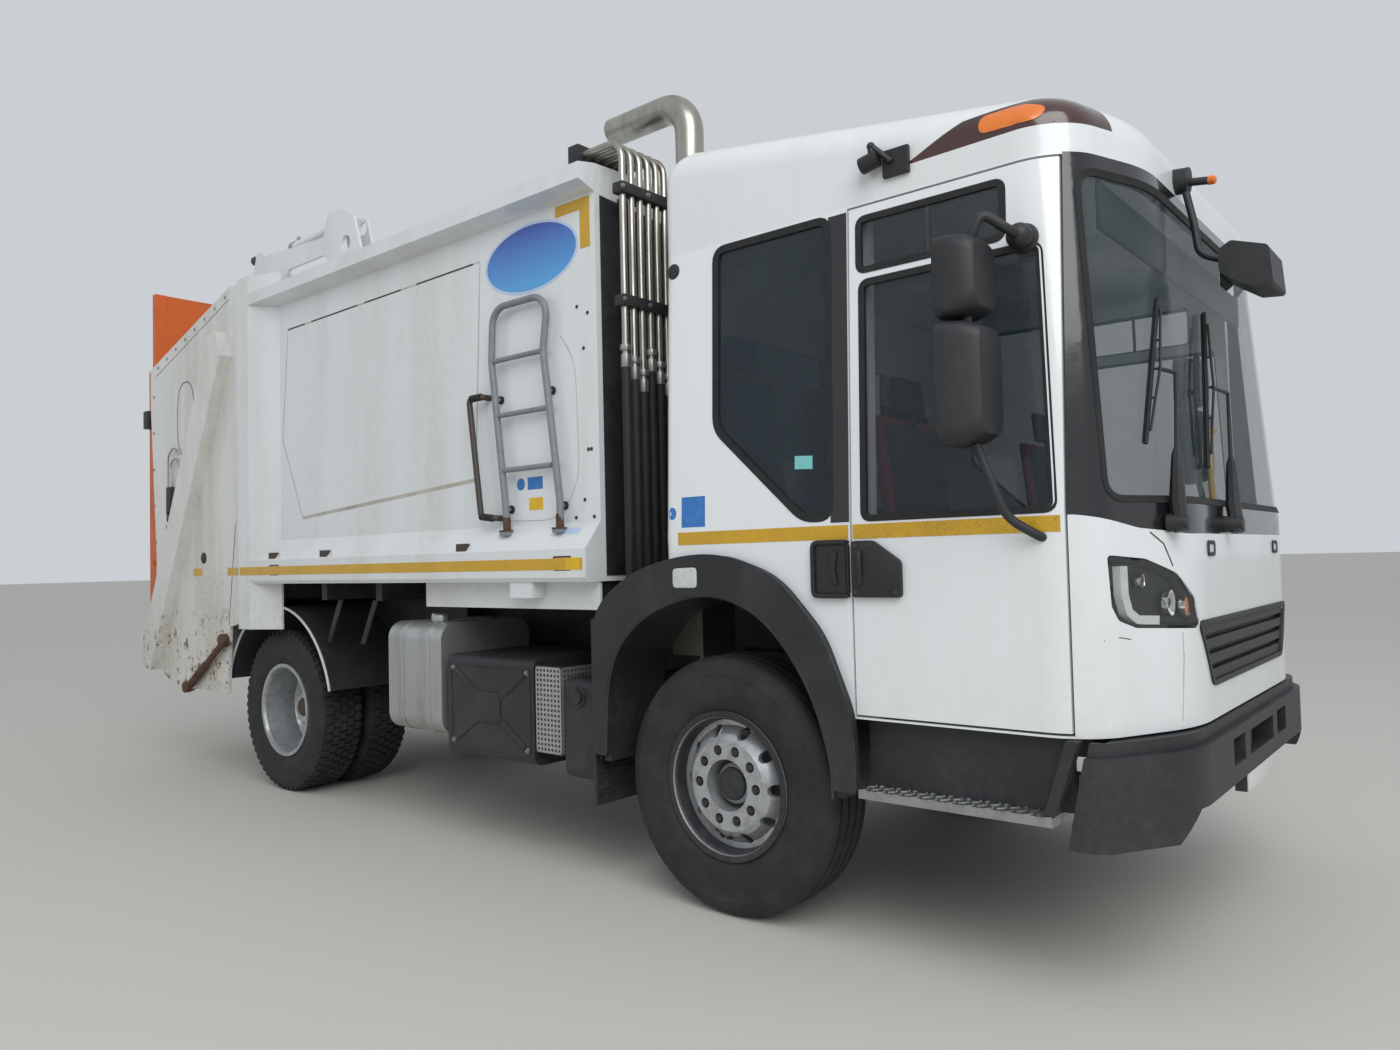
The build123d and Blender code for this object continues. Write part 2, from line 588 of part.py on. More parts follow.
# Bumper with its towing recesses, plate bracket and the struts behind its corners
BUMPER = [(1240, -1385), (1240, -1500), (900, -1705), (-900, -1705), (-1240, -1500), (-1240, -1385)]
BUMPER_TOP = [(1215, -1385), (1215, -1495), (880, -1680), (-880, -1680), (-1215, -1495), (-1215, -1385)]
BUMPER_RADII = [0, 110, 400, 400, 110, 0]
BUMPER_LOW_Z = 515.0
BUMPER_LIP_Z = 800.0
BUMPER_TOP_Z = 842.0
BUMPER_RAKE = [(-1380, 400), (-1398, BUMPER_LOW_Z), (-1475, 900), (-1380, 900)]
BUMPER_UNDER = [(-1000, 500), (-880, 610), (880, 610), (1000, 500)]
BUMPER_HOLLOW = dict(x=(-1180, 1180), y=(-1500, -1300), z=(400, 900))
RAIL_NOTCH = dict(x=(-RAIL_OUT_X - 20, RAIL_OUT_X + 20), y=(-1560, -1300), z=(600, 900))
TOW_HOLES = [
    dict(x=(-210, 210), y=(-1800, -1590), z=(672, 760)),
    dict(x=(290, 470), y=(-1800, -1590), z=(672, 765)),
    dict(x=(-470, -290), y=(-1800, -1590), z=(672, 765)),
]
TOW_PIN = [(0, -1650, 660), (0, -1650, 775)]
PLATE_BRACKET = dict(x=(-270, 270), y=(-1698, -1660), z=(545, 640))
STRUT = [(-1325, 611), (-1360, 611), (-1438, 846), (-1400, 846)]
bumper = slab_z(BUMPER, BUMPER_RADII, BUMPER_LOW_Z, BUMPER_LIP_Z)
shelf = slab_z(BUMPER_TOP, BUMPER_RADII, BUMPER_LIP_Z, BUMPER_TOP_Z)
bumper_cuts = [
    prism_x(BUMPER_RAKE, -FAR, FAR), prism_y(BUMPER_UNDER, -FAR, 0), block(BUMPER_HOLLOW), block(RAIL_NOTCH),
]
bumper = ((bumper + shelf) - bumper_cuts) - [block(row) for row in TOW_HOLES]
bumper = bumper + rod(*TOW_PIN, 18) + block(PLATE_BRACKET)
save("bumper", group(bumper, both(prism_x(STRUT, 1190, 1235))))

# Steps, arches, mudflaps and the panels under the doors
STEP = [dict(x=(960, 1240), y=(-1352, -662), z=(575, 605)), dict(x=(960, 990), y=(-1352, -662), z=(605, 700))]
UNDER_PANEL = dict(x=(1130, 1150), y=(-1395, -662), z=(607, 845))
FLAP = [dict(x=(880, 1235), y=(672, 690), z=(360, 1180)), dict(x=(1150, 1215), y=(655, 675), z=(560, 1180))]
LINER_X = (880.0, CAB_HALF_W)
FLARE_OUT_X = 1250.0
ARCH_FOOT = dict(x=(800, 1300), y=(-700, 660), z=(400, 560))
save("cab_steps", both(blocks(STEP)))
liner = arch_slab(ARCH_CUT, *LINER_X) - arch_slab(ARCH_IN, 800, FLARE_OUT_X)
flare = arch_slab(ARCH_OUT, CAB_HALF_W, FLARE_OUT_X) - arch_slab(ARCH_IN, 1100, 1300)
arch = (liner + flare) - block(ARCH_FOOT)
save("front_arches", both(group(arch, blocks(FLAP) - arch_slab(ARCH_CUT, 800, 1300), block(UNDER_PANEL))))

# Cab floor, seats and dashboard
FRONT_FLOOR = dict(x=(-1120, 1120), y=(-1600, -640), z=(CAB_FLOOR_Z, 880))
CREW_FLOOR = [
    dict(x=(-1120, 1120), y=(-640, 220), z=(CREW_FLOOR_Z - 20, CREW_FLOOR_Z)),
    dict(x=(-1120, 1120), y=(-660, -640), z=(CAB_FLOOR_Z, CREW_FLOOR_Z)),
]
cab_inside = cab_solid(TRIM_DEPTH + 1)
save("cab_floor", (block(FRONT_FLOOR) & cab_inside) + blocks(CREW_FLOOR))

SEATS = [
    dict(x=-720, y=-860, floor=880, seat=1330), dict(x=720, y=-860, floor=880, seat=1330),
    dict(x=-760, y=-60, floor=CREW_FLOOR_Z, seat=1620), dict(x=0, y=-60, floor=CREW_FLOOR_Z, seat=1620),
    dict(x=760, y=-60, floor=CREW_FLOOR_Z, seat=1620),
]
BACK_LEAN = [(110, 30), (200, 30), (265, 640), (195, 640)]


def seat(row):
    """One seat: a pedestal, a cushion, a leaning back and a head rest."""
    x, y, top = row["x"], row["y"], row["seat"]
    parts = [
        box(x - 200, x + 200, y - 200, y + 160, row["floor"], top - 90),
        box(x - 250, x + 250, y - 280, y + 190, top - 90, top + 30),
        prism_x([(y + dy, top + dz) for dy, dz in BACK_LEAN], x - 240, x + 240),
        box(x - 130, x + 130, y + 195, y + 265, top + 640, top + 820),
    ]
    return joined(parts)


save("seats", group(*[seat(row) for row in SEATS]))

DASH = [
    (-1600, 1000), (-1600, 1420), (-1420, 1500), (-1250, 1440), (-1200, 1250), (-1330, 1180), (-1380, 880),
    (-1500, 880),
]
STEERING_AT = (-720, -1120, 1500)
STEERING_WAY = (0, 0.45, 0.89)
STEERING_R = 225.0
COLUMN_FOOT = (-720, -1290, 1165)
wheel_place = Plane(STEERING_AT, z_dir=STEERING_WAY)
rim_section = wheel_place * (Pos(STEERING_R, 0, 0) * Rot(90, 0, 0) * Circle(15))
rim = revolve(rim_section, axis=Axis(STEERING_AT, STEERING_WAY))
spokes = extrude(wheel_place * Rectangle(2 * STEERING_R - 20, 45), amount=14)
horn = extrude(wheel_place * Circle(60), amount=30)
column = rod(STEERING_AT, COLUMN_FOOT, 35)
save("dashboard", (prism_x(DASH, -1100, 1100) & cab_inside) + (rim + spokes + horn + column))

# Behind the cab: pipes over the body's front edge, and the exhaust
PIPE_COUNT = 6
PIPE_X0 = -1120.0
PIPE_PITCH = 56.0
PIPE_Y = 550.0
PIPE_LOW_Z = 1130.0
PIPE_TOP_Z = 3335.0
PIPE_BLOCK = dict(x=(-1150, -810), y=(800, 860), z=(3280, 3375))
PIPE_CLAMPS = [
    dict(x=(-1150, -810), y=(525, 575), z=(2580, 2620)),
    dict(x=(-1000, -960), y=(575, BODY_Y0), z=(2580, 2620)),
    dict(x=(-1150, -810), y=(525, 575), z=(3090, 3130)),
    dict(x=(-1000, -960), y=(575, BODY_Y0), z=(3090, 3130)),
]
pipes = [blocks(PIPE_CLAMPS + [PIPE_BLOCK])]
for k in range(PIPE_COUNT):
    x = PIPE_X0 + PIPE_PITCH * k
    pipes.append(tube([(x, PIPE_Y, PIPE_LOW_Z), (x, PIPE_Y, PIPE_TOP_Z), (x, 820, PIPE_TOP_Z)], 16, [0, 90, 0]))
save("hydraulic_pipes", joined(pipes))

STACK = [(-760, 450, 1250), (-760, 450, 3600), (-760, 950, 3600)]
STACK_R = 68.0
SILENCER = dict(x=(-880, -640), y=(340, 520), z=(1000, 1600))
STACK_BRACKET = dict(x=(-800, -720), y=(480, BODY_Y0), z=(2400, 2440))
stack = tube(STACK, STACK_R, [0, 150, 0]) - rod((-760, 700, 3600), (-760, 960, 3600), STACK_R - 6)
save("exhaust_stack", stack + block(SILENCER) + block(STACK_BRACKET))

# Tanks and boxes along the rails
TANKS = [
    dict(node="fuel_tank", side=-1, x=(600, 1195), y=(1860, 2345), z=(545, 1130), round=90),
    dict(node="side_box", side=-1, x=(560, 1195), y=(1130, 1805), z=(470, 975), round=45),
    dict(node="additive_tank", side=-1, x=(700, 1180), y=(740, 930), z=(440, 900), round=50),
    dict(node="battery_box", side=1, x=(560, 1180), y=(1125, 1805), z=(500, 975), round=45),
]
SHIELD_SIDE = dict(x=(-1190, -1184), y=(948, 1119), z=(540, 950))
SHIELD_FRONT = dict(x=(-1190, -800), y=(942, 948), z=(540, 950))
SHIELD_STAY = dict(x=(-1100, -1060), y=(948, 1140), z=(700, 760))
FILLER = [(-1080, 2020, 1100), (-1080, 2020, 1165)]
FILLER_R = 42.0
for row in TANKS:
    body = fillet(block(row, row["side"]).edges().filter_by(Axis.Y), row["round"])
    low, high = RAIL_Z0 + 20, RAIL_Z0 + 140
    ends = [(y, y + 50) for y in (row["y"][0] + 30, row["y"][1] - 80)]
    arms = [dict(x=(RAIL_OUT_X, row["x"][0] + 40), y=end, z=(low, high)) for end in ends]
    tank = body + blocks(arms, (row["side"],))
    if row["node"] == "fuel_tank":
        tank = tank + rod(*FILLER, FILLER_R)
    if row["node"] == "side_box":
        tank = tank + blocks([SHIELD_SIDE, SHIELD_FRONT, SHIELD_STAY])
    save(row["node"], tank)

RESERVOIR_R = 130.0
RESERVOIR_STRAPS = [
    dict(x=(430, 1060), y=(2000, 2050), z=(820, 870)), dict(x=(430, 1060), y=(2550, 2600), z=(820, 870)),
]
reservoirs = [rod((x, 1900, 700), (x, 2700, 700), RESERVOIR_R) for x in (700, 1000)]
save("air_reservoirs", joined(reservoirs) + blocks(RESERVOIR_STRAPS))

# Rear mudguards
GUARD_R = 680.0
GUARD_T = 10.0
GUARD_X = (440.0, 1130.0)
GUARD_LOW_Z = 690.0
guard_middle = (GUARD_X[0] + GUARD_X[1]) / 2
guard_width = GUARD_X[1] - GUARD_X[0]
hoop = Cylinder(GUARD_R, guard_width) - Cylinder(GUARD_R - GUARD_T, guard_width + 10)
guard = Pos(guard_middle, REAR_AXLE_Y, AXLE_Z) * Rot(0, 90, 0) * hoop
guard = guard & box(400, 1300, REAR_AXLE_Y - 800, REAR_AXLE_Y + 800, GUARD_LOW_Z, 1400)
STRAP = dict(x=(442, 462), y=(REAR_AXLE_Y - 30, REAR_AXLE_Y + 30), z=(985, AXLE_Z + GUARD_R - 5))
FOOT = dict(x=(SUB_RUNNER["x"][1], 447), y=(REAR_AXLE_Y - 30, REAR_AXLE_Y + 30), z=(1000, 1060))
save("rear_mudguards", both(guard + blocks([STRAP, FOOT])))

# Load body
WALL = [
    (WALL_X - PLATE, 1600), (WALL_X, 1620), (WALL_X, 3130), (SKIRT_X, 3166), (SKIRT_X, 3242),
    (WALL_X, 3262), (0, 3300), (0, 3288), (WALL_X - PLATE, 3250),
]
SILL = [
    (WALL_X - PLATE, 1600), (WALL_X, 1620), (SKIRT_X, 1495), (SKIRT_X, 1365), (SKIRT_X - 12, BODY_FLOOR_Z),
    (0, BODY_FLOOR_Z), (0, 1365), (SKIRT_X - 12, 1365), (SKIRT_X - 12, 1490),
]
FRONT_WALL = [
    (0, BODY_FLOOR_Z), (SKIRT_X, 1365), (SKIRT_X, 1495), (WALL_X, 1620), (WALL_X, 3130), (SKIRT_X, 3166),
    (SKIRT_X, 3242), (WALL_X, 3262), (0, 3300),
]
POST = [
    (WALL_X - PLATE, RING_Y0), (WALL_X, RING_Y0), (SKIRT_X, RING_Y1), (SKIRT_X, BODY_Y1),
    (WALL_X - PLATE, BODY_Y1),
]
BODY_BLOCKS = [
    dict(x=(0, WALL_X), y=(3800, BODY_Y1), z=(3255, RING_TOP_Z)),
    dict(x=(0, WALL_X), y=(RING_Y1 - 60, BODY_Y1), z=(BODY_FLOOR_Z, 1365)),
    dict(x=(1138, 1150), y=(712, 2050), z=(1215, 1360)),
    dict(x=(1138, 1232), y=(1083, 1247), z=(1270, 1360)),
]
HINGE_LUG = [(3900, RING_TOP_Z), (3995, RING_TOP_Z), (3995, 3450), (3965, 3485), (3930, 3470)]
RAM_PLATE = [
    (2720, 3230), (2840, 3560), (2960, 3625), (3120, 3645), (3165, 3560), (3165, 3500), (3700, 3530),
    (3920, 3545), (4020, 3530), (4060, 3440), (3990, 3345), (3900, 3262), (3760, 3262), (3620, 3390),
    (3170, 3390), (3060, 3230),
]
RAM_PLATE_ROUND = [10, 60, 40, 30, 10, 40, 200, 40, 60, 60, 30, 20, 60, 60, 60, 10]
INNER_FOOT = [(2800, 3240), (2900, 3580), (3110, 3640), (3150, 3560), (3060, 3240)]
OUTER_PLATE_X = (1068.0, 1086.0)
INNER_FOOT_X = (942.0, 957.0)
PLATE_HOLE = dict(y=2925, z=3407, r=50)
FOOT_HOLE = dict(y=2946, z=3530, r=42)


def hole_x(hole, x0, x1):
    """A round hole across the truck through a plate that lies between x0 and x1."""
    return rod((x0 - 5, hole["y"], hole["z"]), (x1 + 5, hole["y"], hole["z"]), hole["r"])


half_body = joined([
    prism_y(WALL, BODY_Y0, RING_Y1),
    prism_y(SILL, BODY_Y0, RING_Y1),
    prism_y(FRONT_WALL, BODY_Y0, BODY_Y0 + PLATE),
    prism_z(POST, 1050, RING_TOP_Z),
    blocks(BODY_BLOCKS),
    prism_x(HINGE_LUG, 900, 925),
    slab_x(RAM_PLATE, RAM_PLATE_ROUND, *OUTER_PLATE_X) - hole_x(PLATE_HOLE, *OUTER_PLATE_X),
    slab_x(INNER_FOOT, [0, 30, 30, 30, 0], *INNER_FOOT_X) - hole_x(FOOT_HOLE, *INNER_FOOT_X),
    rod((INNER_FOOT_X[0], RAM_FOOT_Y, RAM_FOOT_Z), (OUTER_PLATE_X[1], RAM_FOOT_Y, RAM_FOOT_Z), RAM_PIN_R),
    rod((900, HINGE_Y, HINGE_Z), (OUTER_PLATE_X[1], HINGE_Y, HINGE_Z), HINGE_PIN_R),
])
save("body_shell", half_body + mirror(half_body, about=Plane.YZ))

# Ladder on the right-hand wall, and the grab handles beside it
LADDER_X = -1190.0
LADDER_TUBE_R = 17.0
LADDER_PATH = [
    (LADDER_X, 1313, 1590), (LADDER_X, 1321, 1720), (LADDER_X, 1412, 2440), (LADDER_X, 1395, 2705),
    (LADDER_X, 985, 2705), (LADDER_X, 1026, 2440), (LADDER_X, 926, 1720), (LADDER_X, 929, 1590),
]
LADDER_BENDS = [0, 150, 200, 95, 95, 200, 150, 0]
RUNGS = [dict(y=(974, 1330), z=1892), dict(y=(1000, 1372), z=2165), dict(y=(1026, 1412), z=2440)]
STANDOFFS = [(1318, 1700), (929, 1700), (1385, 2250), (1003, 2250)]
FEET = [1313, 929]
ladder = [tube(LADDER_PATH, LADDER_TUBE_R, LADDER_BENDS)]
ladder += [rod((LADDER_X, row["y"][0], row["z"]), (LADDER_X, row["y"][1], row["z"]), 13) for row in RUNGS]
ladder += [rod((-WALL_X, y, z), (LADDER_X, y, z), 10) for y, z in STANDOFFS]
ladder += [box(-1212, -1180, y - 30, y + 30, 1572, 1592) for y in FEET]
save("side_ladder", joined(ladder) - prism_y([(-WALL_X, 1620), (-SKIRT_X, 1495), (-WALL_X, 1495)], 700, 1500))

GRAB_PATH = [
    (-WALL_X, 1478, 2272), (-1205, 1478, 2272), (-1205, 1578, 2272), (-1205, 1494, 1672),
    (-1205, 1385, 1660), (-WALL_X, 1385, 1660),
]
LUG_PLACES = [3560, 2940, 1610]
lugs = [box(-1246, -1220, y - 40, y + 40, 1502, 1540) for y in LUG_PLACES]
sill_line = prism_y([(-WALL_X, 1620), (-SKIRT_X, 1495), (-WALL_X, 1400)], BODY_Y0, RING_Y1)
lugs = [lug - sill_line for lug in lugs]
save("body_handles", group(tube(GRAB_PATH, 15, [0, 25, 25, 25, 25, 0]), *lugs))

# Ejector plate inside the body
EJECTOR = [
    dict(x=(-1120, 1120), y=(900, 930), z=(1400, 3150)),
    dict(x=(-1120, 1120), y=(840, 900), z=(1400, 1480)),
    dict(x=(-1120, 1120), y=(840, 900), z=(2950, 3030)),
]
EJECTOR_CHEEK = [(930, 1400), (1500, 1400), (1500, 1440), (960, 1900), (930, 1900)]
cheeks = [prism_x(EJECTOR_CHEEK, s * 1090, s * 1120) for s in (-1, 1)]
save("ejector_plate", blocks(EJECTOR) + joined(cheeks))

# Tailgate
GATE_SIDE = [
    (GATE_Y0, 3350), (4270, 3390), (5600, 2995), (5600, 2700), (5500, 1500), (5590, 810), (5450, 700),
    (5180, 600), (4330, 590), (4300, 1050), (GATE_Y0, 1100),
]
GATE_ROOF = [(GATE_Y0, 3335), (GATE_Y0, 3350), (4270, 3390), (5600, 2995), (5600, 2975), (4270, 3372)]
HOPPER_FLOOR = [
    (GATE_Y0, 1340), (4300, 1230), (4480, 960), (4700, 740), (4950, 660), (5200, 720), (5420, 960),
    (5530, 1400), (5510, 1400), (5405, 970), (5190, 740), (4950, 680), (4710, 758), (4497, 973),
    (4312, 1245), (GATE_Y0, 1360),
]
REAR_POST = [(5470, 1500), (5600, 2700), (5600, 2995), (5500, 2995), (5500, 2700), (5400, 1500)]
GATE_BLOCKS = [
    dict(x=(GATE_X - GATE_T, 1225), y=(GATE_Y0, GATE_Y0 + 60), z=(1100, 3350)),
    dict(x=(0, GATE_X - GATE_T), y=(5490, 5560), z=(1400, 1480)),
    dict(x=(0, GATE_X - GATE_T), y=(5560, 5600), z=(2760, 2990)),
]
HINGE_ARM = [
    (3925, 3400), (3990, 3400), (GATE_Y0, 3345), (4200, 3345), (4200, 3385), (4110, 3600), (4040, 3600),
    (3920, 3480),
]
HINGE_ARMS_X = [(932.0, 950.0), (1040.0, 1058.0)]
hinge_bore = rod((920, HINGE_Y, HINGE_Z), (1070, HINGE_Y, HINGE_Z), HINGE_PIN_R + RUN_CLEARANCE)
hinge_arms = joined([prism_x(HINGE_ARM, x0, x1) for x0, x1 in HINGE_ARMS_X]) - hinge_bore
half_gate = joined([
    prism_x(GATE_SIDE, GATE_X - GATE_T, GATE_X),
    prism_x(GATE_ROOF, 0, GATE_X - GATE_T),
    prism_x(HOPPER_FLOOR, 0, GATE_X - GATE_T),
    prism_x(REAR_POST, 1080, GATE_X - GATE_T),
    blocks(GATE_BLOCKS),
    hinge_arms,
])
save("tailgate_shell", half_gate + mirror(half_gate, about=Plane.YZ))

BEAM = [(4250, 2900), (4330, 3080), (4440, 3060), (5590, 860), (5570, 730), (5430, 705)]
LOCK_RAM = [(1205, 4300, 960), (1205, 4870, 612)]
lock_eyes = [rod((GATE_X, y, z), (1235, y, z), 34) for _, y, z in LOCK_RAM]
save("tailgate_beams", both(group(prism_x(BEAM, GATE_X, SKIRT_X), joined([rod(*LOCK_RAM, 20)] + lock_eyes))))

LAMPS = [
    dict(x=(1132, 1170), y=(5660, 5740), z=(2560, 2680)),
    dict(x=(1040, 1150), y=(5540, 5585), z=(1060, 1260)),
]
save("tail_lamps", both(group(*[block(row) for row in LAMPS])))

# Packing carriage under the tailgate roof, and the sweep blade that turns on it
CARRIAGE = [(4740, 2110), (4850, 2110), (4960, 2900), (4850, 2930)]
CARRIAGE_SHOES = [
    dict(x=(1100, 1144), y=(4800, 4900), z=(2500, 2800)),
    dict(x=(1144, 1150), y=(4790, 4910), z=(2490, 2810)),
]
BLADE = [(4740, 2050), (4820, 2050), (5090, 1560), (5130, 1400), (5070, 1400), (4960, 1560)]
save("packer_carriage", prism_x(CARRIAGE, -1100, 1100) + blocks(CARRIAGE_SHOES, (-1.0, 1.0)))
blade_tube = rod((-1090, BLADE_Y, BLADE_Z), (1090, BLADE_Y, BLADE_Z), 50)
save("sweep_blade", prism_x(BLADE, -1090, 1090) + blade_tube)

# Bin lift: a fixed frame on the tailgate and a tipping chair
LIFT_FRAME = [
    dict(x=(1080, 1130), y=(GATE_REAR_Y, 5730), z=(1040, 3000)),
    dict(x=(0, 1130), y=(GATE_REAR_Y, 5660), z=(3000, 3060)),
    dict(x=(0, 1090), y=(5610, 5640), z=(3060, 3600)),
    dict(x=(1050, 1130), y=(GATE_REAR_Y, 5660), z=(3060, 3600)),
]
CHAIR = [
    dict(x=(0, 1000), y=(5700, 5730), z=(900, 1480)),
    dict(x=(0, 1000), y=(5730, REAR_Y), z=(1380, 1440)),
    dict(x=(940, 1000), y=(5640, 5700), z=(900, 1530)),
    dict(x=(0, 1000), y=(5700, 5830), z=(860, 900)),
]
AXLE_R = 22.0
lift_bore = rod((1070, LIFT_Y, LIFT_Z), (1140, LIFT_Y, LIFT_Z), AXLE_R + RUN_CLEARANCE)
lift_frame = blocks(LIFT_FRAME) - lift_bore
save("lift_frame", lift_frame + mirror(lift_frame, about=Plane.YZ))
lift_axle = rod((-1120, LIFT_Y, LIFT_Z), (1120, LIFT_Y, LIFT_Z), AXLE_R)
save("lift_chair", blocks(CHAIR, (-1.0, 1.0)) + lift_axle)

# Rams on the roof that raise the tailgate
RAM_WAY = math.atan2(RAM_EYE_Z - RAM_FOOT_Z, RAM_EYE_Y - RAM_FOOT_Y)


def on_ram(distance, x):
    """The point of the ram's line at a distance from its fixed pin."""
    return x, RAM_FOOT_Y + distance * math.cos(RAM_WAY), RAM_FOOT_Z + distance * math.sin(RAM_WAY)


def eye_bar(y, z, half_width, x, radius):
    """A short round bar along X, centred on x."""
    return rod((x - half_width, y, z), (x + half_width, y, z), radius)


for side in SIDES:
    x = side["sign"] * RAM_X
    barrel = rod(on_ram(20, x), on_ram(640, x), 36) + eye_bar(RAM_FOOT_Y, RAM_FOOT_Z, 25, x, 34)
    rod_hole = rod(on_ram(60, x), on_ram(650, x), 20 + RUN_CLEARANCE)
    pin_hole = eye_bar(RAM_FOOT_Y, RAM_FOOT_Z, 50, x, RAM_PIN_R + RUN_CLEARANCE)
    save("ram_barrel_" + side["name"], barrel - [rod_hole, pin_hole])
    shaft = rod(on_ram(320, x), on_ram(980, x), 20) + eye_bar(RAM_EYE_Y, RAM_EYE_Z, 20, x, 36)
    save("ram_rod_" + side["name"], shaft - eye_bar(RAM_EYE_Y, RAM_EYE_Z, 50, x, 16))
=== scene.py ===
"""Looks of a rear-loading refuse truck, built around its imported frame.

Everything is in metres in the frame's own axes: +Z up, the truck faces -Y, its right-hand side is -X.
Places along the truck are written from the front axle and moved to the frame's origin when a mesh is made.
"""

import json
import logging
import math
from dataclasses import dataclass
from enum import Enum
from typing import Any, Iterable, Mapping, Sequence

import bmesh
import bpy
from mathutils import Matrix, Vector
from mathutils.bvhtree import BVHTree

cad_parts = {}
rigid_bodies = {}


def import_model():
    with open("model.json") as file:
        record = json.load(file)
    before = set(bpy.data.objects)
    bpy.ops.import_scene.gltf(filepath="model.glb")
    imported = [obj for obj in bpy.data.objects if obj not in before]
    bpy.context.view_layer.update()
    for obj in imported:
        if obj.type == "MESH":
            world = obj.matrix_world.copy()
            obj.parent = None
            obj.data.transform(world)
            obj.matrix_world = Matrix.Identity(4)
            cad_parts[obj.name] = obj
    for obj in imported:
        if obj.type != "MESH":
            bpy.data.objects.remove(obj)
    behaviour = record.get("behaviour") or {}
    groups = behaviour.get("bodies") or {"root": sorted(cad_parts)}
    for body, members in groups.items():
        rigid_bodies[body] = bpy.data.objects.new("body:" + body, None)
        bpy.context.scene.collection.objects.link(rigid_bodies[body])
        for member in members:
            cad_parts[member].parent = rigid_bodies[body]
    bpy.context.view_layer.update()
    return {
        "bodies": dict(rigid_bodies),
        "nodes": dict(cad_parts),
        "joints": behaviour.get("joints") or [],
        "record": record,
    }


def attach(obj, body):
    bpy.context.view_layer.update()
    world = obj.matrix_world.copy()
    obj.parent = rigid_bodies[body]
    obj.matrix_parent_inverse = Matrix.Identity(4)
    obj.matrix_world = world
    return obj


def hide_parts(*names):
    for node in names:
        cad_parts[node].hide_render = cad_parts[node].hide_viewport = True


LOG = logging.getLogger("truck")

Colour = tuple[float, float, float, float]
Point = tuple[float, float, float]
Flat = tuple[float, float]


def srgb(code: str) -> Colour:
    """Turns an sRGB hex code into linear light.

    Args:
        code: Six hex digits, such as "D9DDE0".

    Returns:
        The linear colour, opaque.
    """
    values = []
    for start in (0, 2, 4):
        value = int(code[start:start + 2], 16) / 255
        values.append(value / 12.92 if value <= 0.04045 else ((value + 0.055) / 1.055) ** 2.4)
    return (values[0], values[1], values[2], 1.0)


def add_node(
    tree: bpy.types.NodeTree,
    kind: str,
    settings: Mapping[str, Any] | None = None,
    feeds: Mapping[str | int, Any] | None = None,
) -> bpy.types.Node:
    """Adds a node with its settings and links.

    Args:
        tree: The tree that gets the node.
        kind: The node's type.
        settings: Its properties and their values.
        feeds: Its inputs, each with a value, or with the socket or node that is linked to it.

    Returns:
        The node.
    """
    node = tree.nodes.new(kind)
    for name, value in (settings or {}).items():
        setattr(node, name, value)
    for key, value in (feeds or {}).items():
        source = value.outputs[0] if isinstance(value, bpy.types.Node) else value
        if isinstance(source, bpy.types.NodeSocket):
            tree.links.new(source, node.inputs[key])
        else:
            node.inputs[key].default_value = source
    return node


def calc(tree: bpy.types.NodeTree, operation: str, *values: Any, clamp: bool = False) -> bpy.types.Node:
    """Adds a maths node that is fed with some values in order."""
    return add_node(tree, "ShaderNodeMath", {"operation": operation, "use_clamp": clamp},
                    dict(enumerate(values)))


def remap(tree: bpy.types.NodeTree, value: Any, start: float, end: float, low: float = 0.0,
          high: float = 1.0) -> bpy.types.Node:
    """Adds a node that turns the range from start to end into the range from low to high."""
    return add_node(tree, "ShaderNodeMapRange", feeds={
        "Value": value, "From Min": start, "From Max": end, "To Min": low, "To Max": high})


def noise(tree: bpy.types.NodeTree, place: Any, scale: float, detail: float,
          roughness: float = 0.5) -> bpy.types.Node:
    """Adds a noise texture."""
    return add_node(tree, "ShaderNodeTexNoise", feeds={
        "Vector": place, "Scale": scale, "Detail": detail, "Roughness": roughness})


def mix(tree: bpy.types.NodeTree, share: Any, first: Any, second: Any, blend: str = "MIX") -> Any:
    """Adds a mix of two colours and gives its colour."""
    return add_node(tree, "ShaderNodeMix", {"data_type": "RGBA", "blend_type": blend}, {
        0: share, 6: first, 7: second}).outputs[2]


@dataclass(frozen=True)
class TruckSizes:
    """Driving dimensions that the looks share, in metres."""

    origin_y: float = -1.9825
    rear_axle_y: float = 3.74
    axle_z: float = 0.52
    front_tyre_x: float = 1.045
    rear_outer_x: float = 0.955
    rear_inner_x: float = 0.62
    stripe_z: float = 1.4265
    stripe_width: float = 0.053


SIZES = TruckSizes()
SHIFT = Vector((0.0, SIZES.origin_y, 0.0))


@dataclass(frozen=True)
class CameraPlace:
    """The photograph's camera, as a pinhole."""

    location: Point = (-4.298, -2.520, 1.431)
    azimuth: float = -50.069
    pitch: float = 2.016
    roll: float = -1.353
    focal_px: float = 990.5
    width_px: int = 1400
    sensor_mm: float = 36.0


